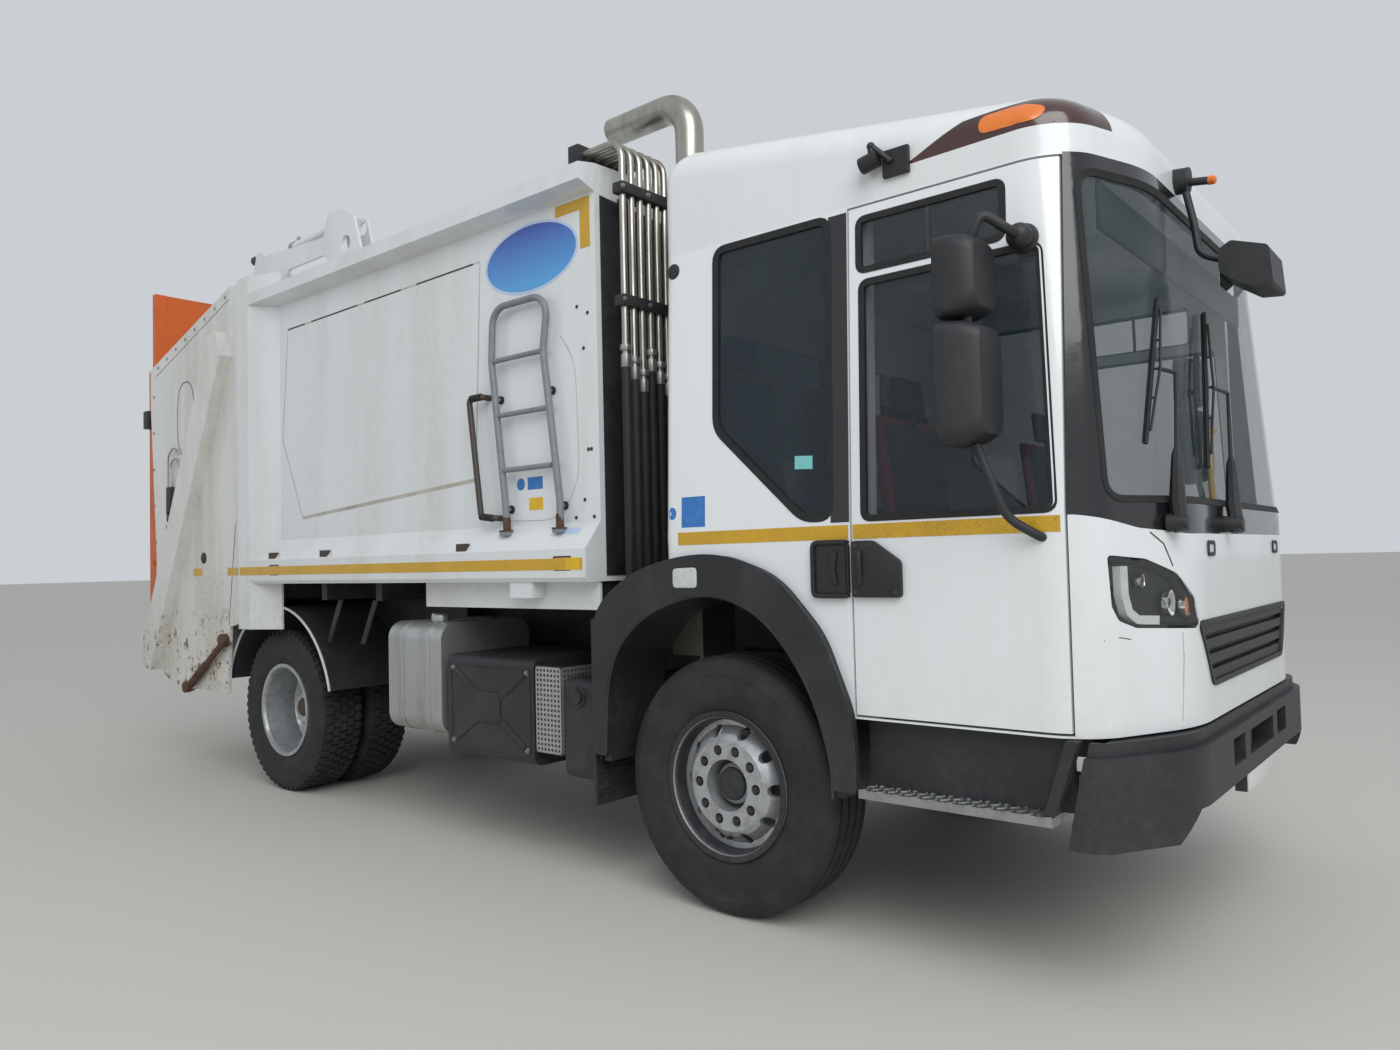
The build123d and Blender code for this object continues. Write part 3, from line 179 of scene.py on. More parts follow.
class Finish(Enum):
    """The finishes that the truck's surfaces have."""

    WHITE_PAINT = "white_enamel_sprayed"
    CAB_PAINT = "white_enamel_polished"
    GATE_PAINT = "white_enamel_rusting"
    WHITE_MOULDING = "white_grp_moulded"
    CHASSIS_PAINT = "black_chassis_enamel"
    CAST_IRON = "grey_iron_cast"
    BLACK_PLASTIC = "black_pp_moulded"
    BLACK_GLOSS = "black_abs_gloss"
    RUBBER = "epdm_rubber_extruded"
    SEAM = "panel_gap_shadow"
    GROOVE_SHADE_AND_SEALER = "worn_sealer_bead"
    AMBER_LENS = "amber_pmma_moulded"
    DARK_AMBER = "amber_pmma_over_dark_bowl"
    RED_LENS = "red_pmma_moulded"
    CLEAR_LENS = "clear_polycarbonate_lens"
    LIGHT_BAR = "frosted_pmma_light_bar"
    REFLECTOR = "aluminised_reflector"
    LAMP_BOWL = "black_pbt_moulded"
    TINTED_GLASS = "grey_tinted_glass"
    DOOR_GLASS = "toughened_door_glass"
    CLEAR_GLASS = "laminated_windscreen_glass"
    MIRROR = "silvered_mirror_glass"
    SEAT_FABRIC = "grey_seat_cloth_woven"
    RED_TRIM = "red_seat_vinyl"
    STAINLESS = "stainless_tube_drawn"
    WHEEL_SILVER = "silver_wheel_lacquer"
    TANK_ALUMINIUM = "tank_aluminium_pressed"
    CHEQUER = "aluminium_chequer_rolled"
    GREY_TUBE = "grey_enamel_tube"
    ORANGE_PAINT = "orange_enamel_worn"
    TYRE_RUBBER = "tyre_rubber_moulded"
    DARK_STEEL = "mild_steel_scoured"
    RUSTY_STEEL = "mild_steel_rusted"
    RAM_CHROME = "hard_chrome_ground"
    ZINC = "zinc_plated_steel"
    YELLOW_TAPE = "yellow_reflective_tape"
    YELLOW_PAINT = "yellow_powder_coat"
    WHITE_TAPE = "white_reflective_tape"
    BLUE_BADGE = "blue_printed_vinyl"
    PALE_BADGE = "pale_printed_vinyl"
    TEAL_LABEL = "teal_paper_label"
    BLUE_LABEL = "blue_paper_label"


class Pattern(Enum):
    """What is worked into a surface besides its dirt and grain."""

    NONE = 0
    WEAVE = 1
    CELLS = 2
    BRUSHED = 3
    FADE = 4


@dataclass(frozen=True)
class SurfaceFinish:
    """What a surface looks like.

    Attributes:
        colour: Base colour as sRGB hex.
        soiled: Colour that dirt, wear or fading turns it to.
        soil: Share of the soiled colour in the dirtiest patches.
        roughness: Roughness of a clean patch.
        metallic: 1 for bare metal.
        coat: Clear coat weight.
        alpha: Opacity.
        patch_mm: Size of the dirt patches.
        stretch: Scale of the patches along each axis, below 1 where they are drawn out.
        grime_top: Height under which road dirt gathers, 0 for none.
        grain_mm: Size of the fine grain, 0 for none.
        grain_depth: Strength of the fine grain's bump.
        pattern: What is worked into the surface.
        pattern_mm: Size of one repeat of the pattern.
        spots: Colour of rust or wear spots, empty for none.
        spot_level: Noise level above which a spot shows.
        spot_top: Height under which spots show.
    """

    colour: str
    soiled: str
    soil: float = 0.25
    roughness: float = 0.4
    metallic: float = 0.0
    coat: float = 0.0
    alpha: float = 1.0
    patch_mm: float = 600.0
    stretch: Point = (1.0, 1.0, 1.0)
    grime_top: float = 0.0
    grain_mm: float = 0.0
    grain_depth: float = 0.0
    pattern: Pattern = Pattern.NONE
    pattern_mm: float = 0.0
    spots: str = ""
    spot_level: float = 0.62
    spot_top: float = 9.0


RUNS = (1.0, 1.0, 0.14)
FINISHES: dict[Finish, SurfaceFinish] = {
    # Sprayed enamel on steel: smooth with a faint orange peel, grey water runs and road dust low down.
    Finish.WHITE_PAINT: SurfaceFinish(
        "DADEE0", "B4AE9E", 0.4, 0.2, coat=0.6, patch_mm=420, stretch=RUNS, grime_top=1.7, grain_mm=6,
        grain_depth=0.02),
    # The cab's enamel, washed and polished more often: brighter and nearly clean.
    Finish.CAB_PAINT: SurfaceFinish(
        "E2E6E8", "C4C0B4", 0.22, 0.16, coat=0.7, patch_mm=520, stretch=RUNS, grime_top=1.15, grain_mm=6,
        grain_depth=0.02),
    # The same enamel where refuse juice runs down it: ochre runs, and rust that breaks out low down.
    Finish.GATE_PAINT: SurfaceFinish(
        "D8D9D6", "A79B80", 0.6, 0.26, coat=0.4, patch_mm=300, stretch=RUNS, grime_top=1.9, grain_mm=6,
        grain_depth=0.02, spots="6B3F22", spot_level=0.56, spot_top=1.25),
    # Glass-fibre moulding with a gel coat: glossy, slightly wavy, a little dust.
    Finish.WHITE_MOULDING: SurfaceFinish(
        "DDE1E3", "C2BEB2", 0.3, 0.26, coat=0.5, patch_mm=500, stretch=RUNS, grime_top=1.3, grain_mm=9,
        grain_depth=0.02),
    # Brushed-on satin enamel under road dirt: dull black going to dry mud colour.
    Finish.CHASSIS_PAINT: SurfaceFinish(
        "1D1E20", "57503F", 0.55, 0.55, patch_mm=220, grain_mm=3, grain_depth=0.15),
    # Sand-cast iron: rough skin with oil and light rust.
    Finish.CAST_IRON: SurfaceFinish("3A3936", "57452F", 0.5, 0.7, patch_mm=120, grain_mm=3, grain_depth=0.3),
    # Moulded polypropylene: spark-eroded grain, bleached grey where the sun and brushes reach it.
    Finish.BLACK_PLASTIC: SurfaceFinish(
        "1F2124", "4A4B4E", 0.32, 0.5, patch_mm=260, grime_top=1.0, grain_mm=1.6, grain_depth=0.15),
    # Polished ABS: deep black with dust that dulls it in patches.
    Finish.BLACK_GLOSS: SurfaceFinish(
        "17181B", "3B3B3A", 0.25, 0.16, coat=0.5, patch_mm=240, grain_mm=20, grain_depth=0.01),
    # Extruded rubber seal: matt, with a fine chalky bloom.
    Finish.RUBBER: SurfaceFinish("161719", "3E3E3C", 0.35, 0.68, patch_mm=60, grain_mm=2, grain_depth=0.1),
    # The dark inside of a narrow gap, with dust in it.
    Finish.SEAM: SurfaceFinish("33322F", "6E675B", 0.5, 0.8, patch_mm=90),
    # A matt grey line: painted shade along pressings, a crease and the hatch's edge, and a bead of sealer on
    # the roof seams; worn to brown where cloths and brushes rub it.
    Finish.GROOVE_SHADE_AND_SEALER: SurfaceFinish("B9B6AC", "8A8170", 0.8, 0.6, patch_mm=140, grain_mm=5, grain_depth=0.1),
    # Moulded acrylic over a reflector: glossy, with fine prism ribs drawn as 4 mm grain.
    Finish.AMBER_LENS: SurfaceFinish(
        "E07416", "9C4A12", 0.3, 0.12, coat=0.8, patch_mm=40, grain_mm=4, grain_depth=0.3),
    # The same over an unlit dark bowl, which turns it brown.
    Finish.DARK_AMBER: SurfaceFinish(
        "3F1B12", "20120F", 0.6, 0.12, coat=0.8, patch_mm=260, grain_mm=6, grain_depth=0.1),
    Finish.RED_LENS: SurfaceFinish(
        "8C0F10", "4A0B0B", 0.3, 0.16, coat=0.8, patch_mm=50, grain_mm=4, grain_depth=0.3),
    # Hard-coated polycarbonate: nearly clear, a little yellowed.
    Finish.CLEAR_LENS: SurfaceFinish("8E9494", "A5A392", 0.3, 0.05, alpha=0.07, patch_mm=120),
    # Moulded black bowl behind the lens: fine matt grain that swallows light.
    Finish.LAMP_BOWL: SurfaceFinish("0E0F11", "26272A", 0.3, 0.5, patch_mm=90, grain_mm=2, grain_depth=0.1),
    # Satin acrylic light guide: milky, with a faint inner grain.
    Finish.LIGHT_BAR: SurfaceFinish(
        "C9CDCB", "A4A69F", 0.4, 0.3, coat=0.4, patch_mm=30, grain_mm=3, grain_depth=0.2),
    # Vacuum-coated bowl: bright and a little uneven.
    Finish.REFLECTOR: SurfaceFinish(
        "D6D8D8", "A8A9A8", 0.4, 0.12, metallic=1.0, patch_mm=25, grain_mm=8, grain_depth=0.1),
    # Body-tinted float glass: dark grey-green, with wiped dust.
    Finish.TINTED_GLASS: SurfaceFinish("1E2B33", "3D494E", 0.3, 0.04, alpha=0.62, patch_mm=300),
    # Toughened side glass: lighter than the fixed pane, so the seats show through it.
    Finish.DOOR_GLASS: SurfaceFinish("28363D", "4A565A", 0.3, 0.04, alpha=0.36, patch_mm=320),
    Finish.CLEAR_GLASS: SurfaceFinish("4A595E", "8D9897", 0.3, 0.03, alpha=0.24, patch_mm=400),
    # Silvered glass: a near perfect mirror with a film of dust.
    Finish.MIRROR: SurfaceFinish("C8CED2", "A5A9AA", 0.3, 0.03, metallic=1.0, patch_mm=70),
    # Woven seat cloth: the real thread is 1 mm, drawn at 5 mm so that it shows through the glass.
    Finish.SEAT_FABRIC: SurfaceFinish(
        "3B3D42", "5A5B5F", 0.45, 0.9, patch_mm=90, pattern=Pattern.WEAVE, pattern_mm=5),
    # Vinyl side panels: grained and lightly creased.
    Finish.RED_TRIM: SurfaceFinish("7E1B22", "4A1014", 0.4, 0.5, patch_mm=80, grain_mm=4, grain_depth=0.2),
    # Drawn stainless tube: long soft streaks along it and brown grime at the clamps.
    Finish.STAINLESS: SurfaceFinish(
        "B2AFA6", "6E6452", 0.55, 0.28, metallic=1.0, patch_mm=60, stretch=(1, 1, 0.2),
        pattern=Pattern.BRUSHED, pattern_mm=3),
    # Sprayed silver lacquer with brake dust and chips that rust.
    Finish.WHEEL_SILVER: SurfaceFinish(
        "B4B7BA", "6A6254", 0.6, 0.36, metallic=0.6, patch_mm=45, grain_mm=3, grain_depth=0.08,
        spots="53382A", spot_level=0.69),
    # Pressed aluminium sheet: soft satin with dried splashes.
    Finish.TANK_ALUMINIUM: SurfaceFinish(
        "B9BBBB", "857F72", 0.5, 0.36, metallic=0.75, patch_mm=110, stretch=RUNS, grime_top=1.1,
        pattern=Pattern.BRUSHED, pattern_mm=4),
    # Rolled tread plate: bright bars on a dull ground.
    Finish.CHEQUER: SurfaceFinish(
        "A9ABAB", "5F5A4F", 0.6, 0.34, metallic=0.9, patch_mm=70, grain_mm=3, grain_depth=0.12),
    # Brushed-on enamel on steel tube, worn at the rungs.
    Finish.GREY_TUBE: SurfaceFinish(
        "7C8389", "5E5A53", 0.4, 0.42, patch_mm=60, grain_mm=4, grain_depth=0.08, spots="5A3D2A",
        spot_level=0.68, spot_top=1.72),
    # Orange enamel rubbed by bins: darker scuffs and bare, rusty scratches.
    Finish.ORANGE_PAINT: SurfaceFinish(
        "D2601B", "7D4526", 0.45, 0.42, patch_mm=160, grain_mm=4, grain_depth=0.08, spots="3C332E",
        spot_level=0.66),
    # Carbon-black rubber: matt, with dry dust in the mould lines.
    Finish.TYRE_RUBBER: SurfaceFinish(
        "202122", "4C4A45", 0.42, 0.74, patch_mm=120, grain_mm=3, grain_depth=0.2),
    # Steel plate scoured by refuse: dull sheen, brown film.
    Finish.DARK_STEEL: SurfaceFinish(
        "4A4845", "6B4E36", 0.6, 0.5, metallic=0.5, patch_mm=120, grain_mm=5, grain_depth=0.15),
    # Rusted steel: brown with darker pits.
    Finish.RUSTY_STEEL: SurfaceFinish(
        "5D4233", "2E2723", 0.7, 0.75, metallic=0.1, patch_mm=40, grain_mm=3, grain_depth=0.4),
    # Ground hard chrome: bright with a thin oil film.
    Finish.RAM_CHROME: SurfaceFinish(
        "C9CBCC", "9A978E", 0.3, 0.1, metallic=1.0, patch_mm=80, pattern=Pattern.BRUSHED, pattern_mm=2),
    # Zinc plating: pale, a little cloudy.
    Finish.ZINC: SurfaceFinish("A3A5A3", "6E6A5F", 0.5, 0.36, metallic=0.9, patch_mm=12),
    # Prismatic tape: yellow with a net of sealed cells, 4 mm in fact and drawn at 9 mm so that it shows.
    Finish.YELLOW_TAPE: SurfaceFinish(
        "D0A21C", "A2811E", 0.4, 0.3, coat=0.3, patch_mm=200, pattern=Pattern.CELLS, pattern_mm=9),
    Finish.YELLOW_PAINT: SurfaceFinish(
        "E0B21E", "8F7420", 0.3, 0.4, patch_mm=60, grain_mm=3, grain_depth=0.08),
    Finish.WHITE_TAPE: SurfaceFinish(
        "DDE0DE", "A7A59B", 0.3, 0.3, coat=0.3, patch_mm=60, pattern=Pattern.CELLS, pattern_mm=9),
    # Printed vinyl that fades from pale to deep blue with height.
    Finish.BLUE_BADGE: SurfaceFinish(
        "4FA3E0", "3A4FA8", 1.0, 0.26, coat=0.4, pattern=Pattern.FADE, pattern_mm=320, spot_top=2.92),
    Finish.PALE_BADGE: SurfaceFinish("B9CBE6", "9AA6C2", 0.3, 0.28, coat=0.4, patch_mm=80),
    Finish.TEAL_LABEL: SurfaceFinish("7CC3C4", "5C9A9C", 0.3, 0.5, patch_mm=30),
    Finish.BLUE_LABEL: SurfaceFinish("2C6FB8", "6C9CCB", 0.35, 0.45, patch_mm=40),
}


class MaterialLibrary:
    """Makes each finish's material once."""

    def __init__(self) -> None:
        self._made: dict[Finish, bpy.types.Material] = {}

    def get(self, finish: Finish) -> bpy.types.Material:
        """Gives a finish's material.

        Args:
            finish: The finish wanted.

        Returns:
            Its material.
        """
        if finish not in self._made:
            self._made[finish] = self._build(finish.value, FINISHES[finish])
        return self._made[finish]

    def _build(self, name: str, look: SurfaceFinish) -> bpy.types.Material:
        """Builds one material: dirt, spots and pattern in its colour, grain in its bump."""
        material = bpy.data.materials.new(name)
        material.use_nodes = True
        tree = material.node_tree
        tree.nodes.clear()
        place = add_node(tree, "ShaderNodeTexCoord").outputs["Object"]
        height = add_node(tree, "ShaderNodeSeparateXYZ", feeds={0: place}).outputs["Z"]
        share = self._dirt(tree, look, place, height)
        pattern = self._pattern(tree, look, place, height)
        if look.pattern is Pattern.FADE:
            share = pattern
        colour = mix(tree, share, srgb(look.colour), srgb(look.soiled))
        if look.pattern in (Pattern.WEAVE, Pattern.CELLS):
            colour = mix(tree, 0.45, colour, pattern, "MULTIPLY")
        if look.spots:
            edge = remap(tree, noise(tree, place, 14.0, 8.0, 0.7), look.spot_level, look.spot_level + 0.04)
            low = remap(tree, height, look.spot_top, look.spot_top - 0.35)
            colour = mix(tree, calc(tree, "MULTIPLY", edge, low), colour, srgb(look.spots))
        rough = calc(tree, "MULTIPLY_ADD", share, 0.35, look.roughness, clamp=True)
        feeds = {
            "Base Color": colour, "Roughness": rough, "Metallic": look.metallic, "Coat Weight": look.coat,
            "Coat Roughness": 0.06, "Alpha": look.alpha}
        bump = self._bump(tree, look, place, pattern)
        if bump is not None:
            feeds["Normal"] = bump
        surface = add_node(tree, "ShaderNodeBsdfPrincipled", feeds=feeds)
        add_node(tree, "ShaderNodeOutputMaterial", feeds={"Surface": surface})
        return material

    def _dirt(self, tree: bpy.types.NodeTree, look: SurfaceFinish, place: Any, height: Any) -> Any:
        """Share of the soiled colour: drawn-out patches, broken up finely, and more of it low down."""
        drawn = add_node(tree, "ShaderNodeMapping", feeds={"Vector": place, "Scale": look.stretch})
        share = remap(tree, noise(tree, drawn, 1000 / look.patch_mm, 6.0, 0.62), 0.44, 0.74, 0.0, look.soil)
        fine = noise(tree, place, 9000 / look.patch_mm, 4.0)
        if look.grime_top:
            low = remap(tree, height, look.grime_top, 0.3, 0.0, 0.5)
            share = calc(tree, "ADD", share, calc(tree, "MULTIPLY", low, fine), clamp=True)
        return calc(tree, "MULTIPLY", share, remap(tree, fine, 0.3, 0.7, 0.6, 1.2), clamp=True)

    def _pattern(self, tree: bpy.types.NodeTree, look: SurfaceFinish, place: Any, height: Any) -> Any:
        """The pattern as a value from 0 to 1, or None."""
        if look.pattern is Pattern.WEAVE:
            bands = [add_node(tree, "ShaderNodeTexWave", {"bands_direction": way}, {
                "Vector": place, "Scale": 1000 / look.pattern_mm / 3.2, "Distortion": 0.4}) for way in "XYZ"]
            return calc(tree, "MULTIPLY", calc(tree, "MAXIMUM", bands[0], bands[1]), bands[2])
        if look.pattern is Pattern.CELLS:
            cells = add_node(tree, "ShaderNodeTexVoronoi", {"feature": "DISTANCE_TO_EDGE"}, {
                "Vector": place, "Scale": 1000 / look.pattern_mm, "Randomness": 0.35})
            return remap(tree, cells, 0.02, 0.12, 0.45)
        if look.pattern is Pattern.BRUSHED:
            drawn = add_node(tree, "ShaderNodeMapping", feeds={"Vector": place, "Scale": (1.0, 1.0, 0.04)})
            return noise(tree, drawn, 1000 / look.pattern_mm, 3.0)
        if look.pattern is Pattern.FADE:
            half = look.pattern_mm / 2000
            return remap(tree, height, look.spot_top - half, look.spot_top + half)
        return None

    def _bump(self, tree: bpy.types.NodeTree, look: SurfaceFinish, place: Any, pattern: Any) -> Any:
        """The surface's bump from its grain or its pattern, or None."""
        relief = pattern
        depth = look.pattern_mm / 4000
        strength = 0.25
        if look.grain_mm:
            relief = noise(tree, place, 1000 / look.grain_mm, 3.0)
            depth = look.grain_mm / 1000
            strength = look.grain_depth
        if relief is None or look.pattern is Pattern.FADE:
            return None
        return add_node(tree, "ShaderNodeBump", feeds={"Strength": strength, "Distance": depth,
                                                       "Height": relief})


FINISHED_NODES: dict[Finish, str] = {
    Finish.CHASSIS_PAINT: "chassis_frame body_subframe front_axle rear_axle air_reservoirs knuckle",
    Finish.CAST_IRON: "engine_block",
    Finish.CAB_PAINT: "cab_shell door",
    Finish.TINTED_GLASS: "cab_glass",
    Finish.WHITE_MOULDING: "front_panel cab_roof",
    Finish.LAMP_BOWL: "headlamps",
    Finish.BLACK_PLASTIC: (
        "grille bumper front_arches cab_floor dashboard side_box additive_tank battery_box "
        "rear_mudguards roof_fittings door_fittings"),
    Finish.BLACK_GLOSS: "screen_surround",
    Finish.CLEAR_GLASS: "windscreen",
    Finish.DARK_AMBER: "beacon_lenses",
    Finish.CHEQUER: "cab_steps",
    Finish.SEAT_FABRIC: "seats",
    Finish.STAINLESS: "hydraulic_pipes exhaust_stack",
    Finish.TANK_ALUMINIUM: "fuel_tank",
    Finish.WHITE_PAINT: "body_shell ram_barrel",
    Finish.GREY_TUBE: "side_ladder",
    Finish.DARK_STEEL: "body_handles ejector_plate packer_carriage sweep_blade",
    Finish.GATE_PAINT: "tailgate_shell tailgate_beams",
    Finish.RED_LENS: "tail_lamps",
    Finish.ORANGE_PAINT: "lift_frame lift_chair",
    Finish.DOOR_GLASS: "door_glass",
    Finish.TYRE_RUBBER: "tyre_front tyres_rear",
    Finish.WHEEL_SILVER: "wheel_front wheel_rear",
    Finish.RAM_CHROME: "ram_rod",
}
NODE_FINISHES = {name: finish for finish, names in FINISHED_NODES.items() for name in names.split()}


class Axis(Enum):
    """The direction in which a flat outline is drawn out."""

    X = 0
    Y = 1
    Z = 2


def lift_flat(axis: Axis, u: float, v: float, w: float) -> Point:
    """Places a flat point: (y, z) at x for X, (x, z) at y for Y, (x, y) at z for Z."""
    return {Axis.X: (w, u, v), Axis.Y: (u, w, v), Axis.Z: (u, v, w)}[axis]


def rounded(points: Sequence[Flat], radius: float, steps: int = 5) -> list[Flat]:
    """Rounds an outline's corners.

    Args:
        points: Its corners in order.
        radius: How far from each corner the bend starts.
        steps: Points in each bend.

    Returns:
        The rounded outline.
    """
    result = []
    count = len(points)
    for i, here in enumerate(points):
        corner = Vector(here)
        before = Vector(points[i - 1]) - corner
        after = Vector(points[(i + 1) % count]) - corner
        start = corner + before.normalized() * min(radius, before.length / 2)
        end = corner + after.normalized() * min(radius, after.length / 2)
        for k in range(steps + 1):
            t = k / steps
            spot = start * (1 - t) ** 2 + corner * (2 * t * (1 - t)) + end * t * t
            if not result or (Vector(result[-1]) - spot).length > 1e-5:
                result.append((spot.x, spot.y))
    return result


def bent(points: Sequence[Point], reach: float, steps: int = 6) -> list[Vector]:
    """A path whose inner corners are rounded.

    Args:
        points: The path's corners.
        reach: How far from each corner the bend starts.
        steps: Points in each bend.

    Returns:
        The path's points.
    """
    path = [Vector(points[0])]
    for i in range(1, len(points) - 1):
        corner = Vector(points[i])
        before = Vector(points[i - 1]) - corner
        after = Vector(points[i + 1]) - corner
        start = corner + before.normalized() * min(reach, before.length / 2)
        end = corner + after.normalized() * min(reach, after.length / 2)
        for k in range(steps + 1):
            t = k / steps
            path.append(start * (1 - t) ** 2 + corner * (2 * t * (1 - t)) + end * t * t)
    path.append(Vector(points[-1]))
    return path


def ellipse(u: float, v: float, half_u: float, half_v: float, steps: int = 48,
            power: float = 1.0) -> list[Flat]:
    """An ellipse's outline, squarer where power is below 1."""
    outline = []
    for k in range(steps):
        c, s = math.cos(2 * math.pi * k / steps), math.sin(2 * math.pi * k / steps)
        outline.append((u + half_u * math.copysign(abs(c) ** power, c),
                        v + half_v * math.copysign(abs(s) ** power, s)))
    return outline


def inset(outline: Sequence[Flat], distance: float) -> list[Flat]:
    """Draws an outline in by a distance.

    Args:
        outline: The outline.
        distance: How far each point moves inwards, or outwards below nought.

    Returns:
        The smaller outline.
    """
    count = len(outline)
    area = sum(outline[i - 1][0] * p[1] - p[0] * outline[i - 1][1] for i, p in enumerate(outline))
    result = []
    for i, (u, v) in enumerate(outline):
        ahead = Vector(outline[(i + 1) % count]) - Vector(outline[i - 1])
        ahead = ahead.normalized() * distance * math.copysign(1.0, area)
        result.append((u - ahead.y, v + ahead.x))
    return result


def oblong(u: Flat, v: Flat) -> list[Flat]:
    """The corners of an oblong between two values of u and two of v."""
    return [(u[0], v[0]), (u[1], v[0]), (u[1], v[1]), (u[0], v[1])]


def mirrored(points: Iterable[Flat]) -> list[Flat]:
    """The (x, z) outline on the other side of the truck."""
    return [(-x, z) for x, z in points]


class Form:
    """A mesh in the making, in metres, with Y counted from the front axle."""

    def __init__(self, library: MaterialLibrary) -> None:
        self.library = library
        self.points: list[Vector] = []
        self.faces: list[tuple[int, ...]] = []
        self.looks: list[int] = []
        self.finishes: list[Finish] = []
        self.current = 0

    def paint(self, finish: Finish) -> "Form":
        """Sets the finish of what is added next.

        Args:
            finish: The finish.

        Returns:
            The form itself.
        """
        if finish not in self.finishes:
            self.finishes.append(finish)
        self.current = self.finishes.index(finish)
        return self

    def add(self, points: Iterable[Sequence[float]], faces: Iterable[tuple[int, ...]]) -> None:
        """Adds points and the faces between them."""
        base = len(self.points)
        self.points += [Vector(p) for p in points]
        for face in faces:
            self.faces.append(tuple(base + i for i in face))
            self.looks.append(self.current)

    def box(self, x: Flat, y: Flat, z: Flat) -> None:
        """Adds a block between two corners."""
        self.prism(oblong((x[0], x[1]), (y[0], y[1])), Axis.Z, *z)

    def prism(self, outline: Sequence[Flat], axis: Axis, start: float, end: float) -> None:
        """Adds a flat outline drawn out along an axis."""
        count = len(outline)
        points = [lift_flat(axis, u, v, w) for w in (start, end) for u, v in outline]
        faces = [tuple(range(count)), tuple(range(count, 2 * count))]
        faces += [(i, (i + 1) % count, count + (i + 1) % count, count + i) for i in range(count)]
        self.add(points, faces)

    def grid(self, rows: Sequence[Sequence[Vector]], wrap: bool = False, loop: bool = False) -> None:
        """Adds the faces between rows of points.

        Args:
            rows: Rows of equal length.
            wrap: Whether each row is closed.
            loop: Whether the last row joins the first.
        """
        width = len(rows[0])
        faces = []
        for r in range(len(rows) if loop else len(rows) - 1):
            below, above = r * width, ((r + 1) % len(rows)) * width
            for c in range(width if wrap else width - 1):
                d = (c + 1) % width
                faces.append((below + c, below + d, above + d, above + c))
        if wrap and not loop:
            faces += [tuple(range(width)), tuple(range((len(rows) - 1) * width, len(rows) * width))]
        self.add([p for row in rows for p in row], faces)

    def lathe(self, profile: Sequence[Flat], centre: Point, way: Point, steps: int = 40,
              ring: bool = False) -> None:
        """Adds a turned form.

        Args:
            profile: (offset along the axis, radius) points.
            centre: The axis's origin.
            way: The axis's direction.
            steps: Points in a turn.
            ring: Whether the profile is closed.
        """
        axis = Vector(way).normalized()
        side = axis.orthogonal().normalized()
        third = axis.cross(side)
        turns = [2 * math.pi * k / steps for k in range(steps)]
        rows = []
        for offset, radius in profile:
            middle = Vector(centre) + axis * offset
            rows.append([middle + (side * math.cos(t) + third * math.sin(t)) * radius for t in turns])
        self.grid(rows, wrap=True, loop=ring)

    def tube(self, path: Sequence[Sequence[float]], radius: float | Sequence[float], sides: int = 10,
             closed: bool = False) -> None:
        """Adds a round bar along a path.

        Args:
            path: Its points.
            radius: One radius, or one for each point.
            sides: Sides of its section.
            closed: Whether the path is a loop.
        """
        points = [Vector(p) for p in path]
        count = len(points)
        radii = [radius] * count if isinstance(radius, (int, float)) else list(radius)
        rows = []
        side = None
        for i, here in enumerate(points):
            before = points[i - 1] if closed or i else here
            after = points[(i + 1) % count] if closed or i < count - 1 else here
            ahead = (after - before).normalized()
            side = ahead.orthogonal() if side is None else side - ahead * side.dot(ahead)
            side.normalize()
            third = ahead.cross(side)
            turns = [2 * math.pi * (k + 0.5) / sides for k in range(sides)]
            rows.append([here + (side * math.cos(t) + third * math.sin(t)) * radii[i] for t in turns])
        self.grid(rows, wrap=True, loop=closed)

    def sheet(self, front: Sequence[Sequence[Vector]], back: Sequence[Sequence[Vector]], wrap: bool = False,
              filled: bool = False) -> None:
        """Adds a thin closed sheet between two grids of points.

        Args:
            front: Rows of points on its face.
            back: The same rows on its underside.
            wrap: Whether each row is a loop.
            filled: Whether the first row is filled in, where rows are loops.
        """
        rows = len(front)
        width = len(front[0])
        size = rows * width
        columns = width if wrap else width - 1
        faces = []
        for r in range(rows - 1):
            for c in range(columns):
                a, b = r * width + c, r * width + (c + 1) % width
                faces.append((a, b, b + width, a + width))
                faces.append((size + a, size + b, size + b + width, size + a + width))
        for r in ((rows - 1,) if filled else (0, rows - 1)):
            for c in range(columns):
                a, b = r * width + c, r * width + (c + 1) % width
                faces.append((a, b, size + b, size + a))
        if filled:
            faces += [tuple(range(width)), tuple(range(size, size + width))]
        if not wrap:
            for r in range(rows - 1):
                for a in (r * width, r * width + width - 1):
                    faces.append((a, a + width, size + a + width, size + a))
        self.add([p for grid in (front, back) for row in grid for p in row], faces)

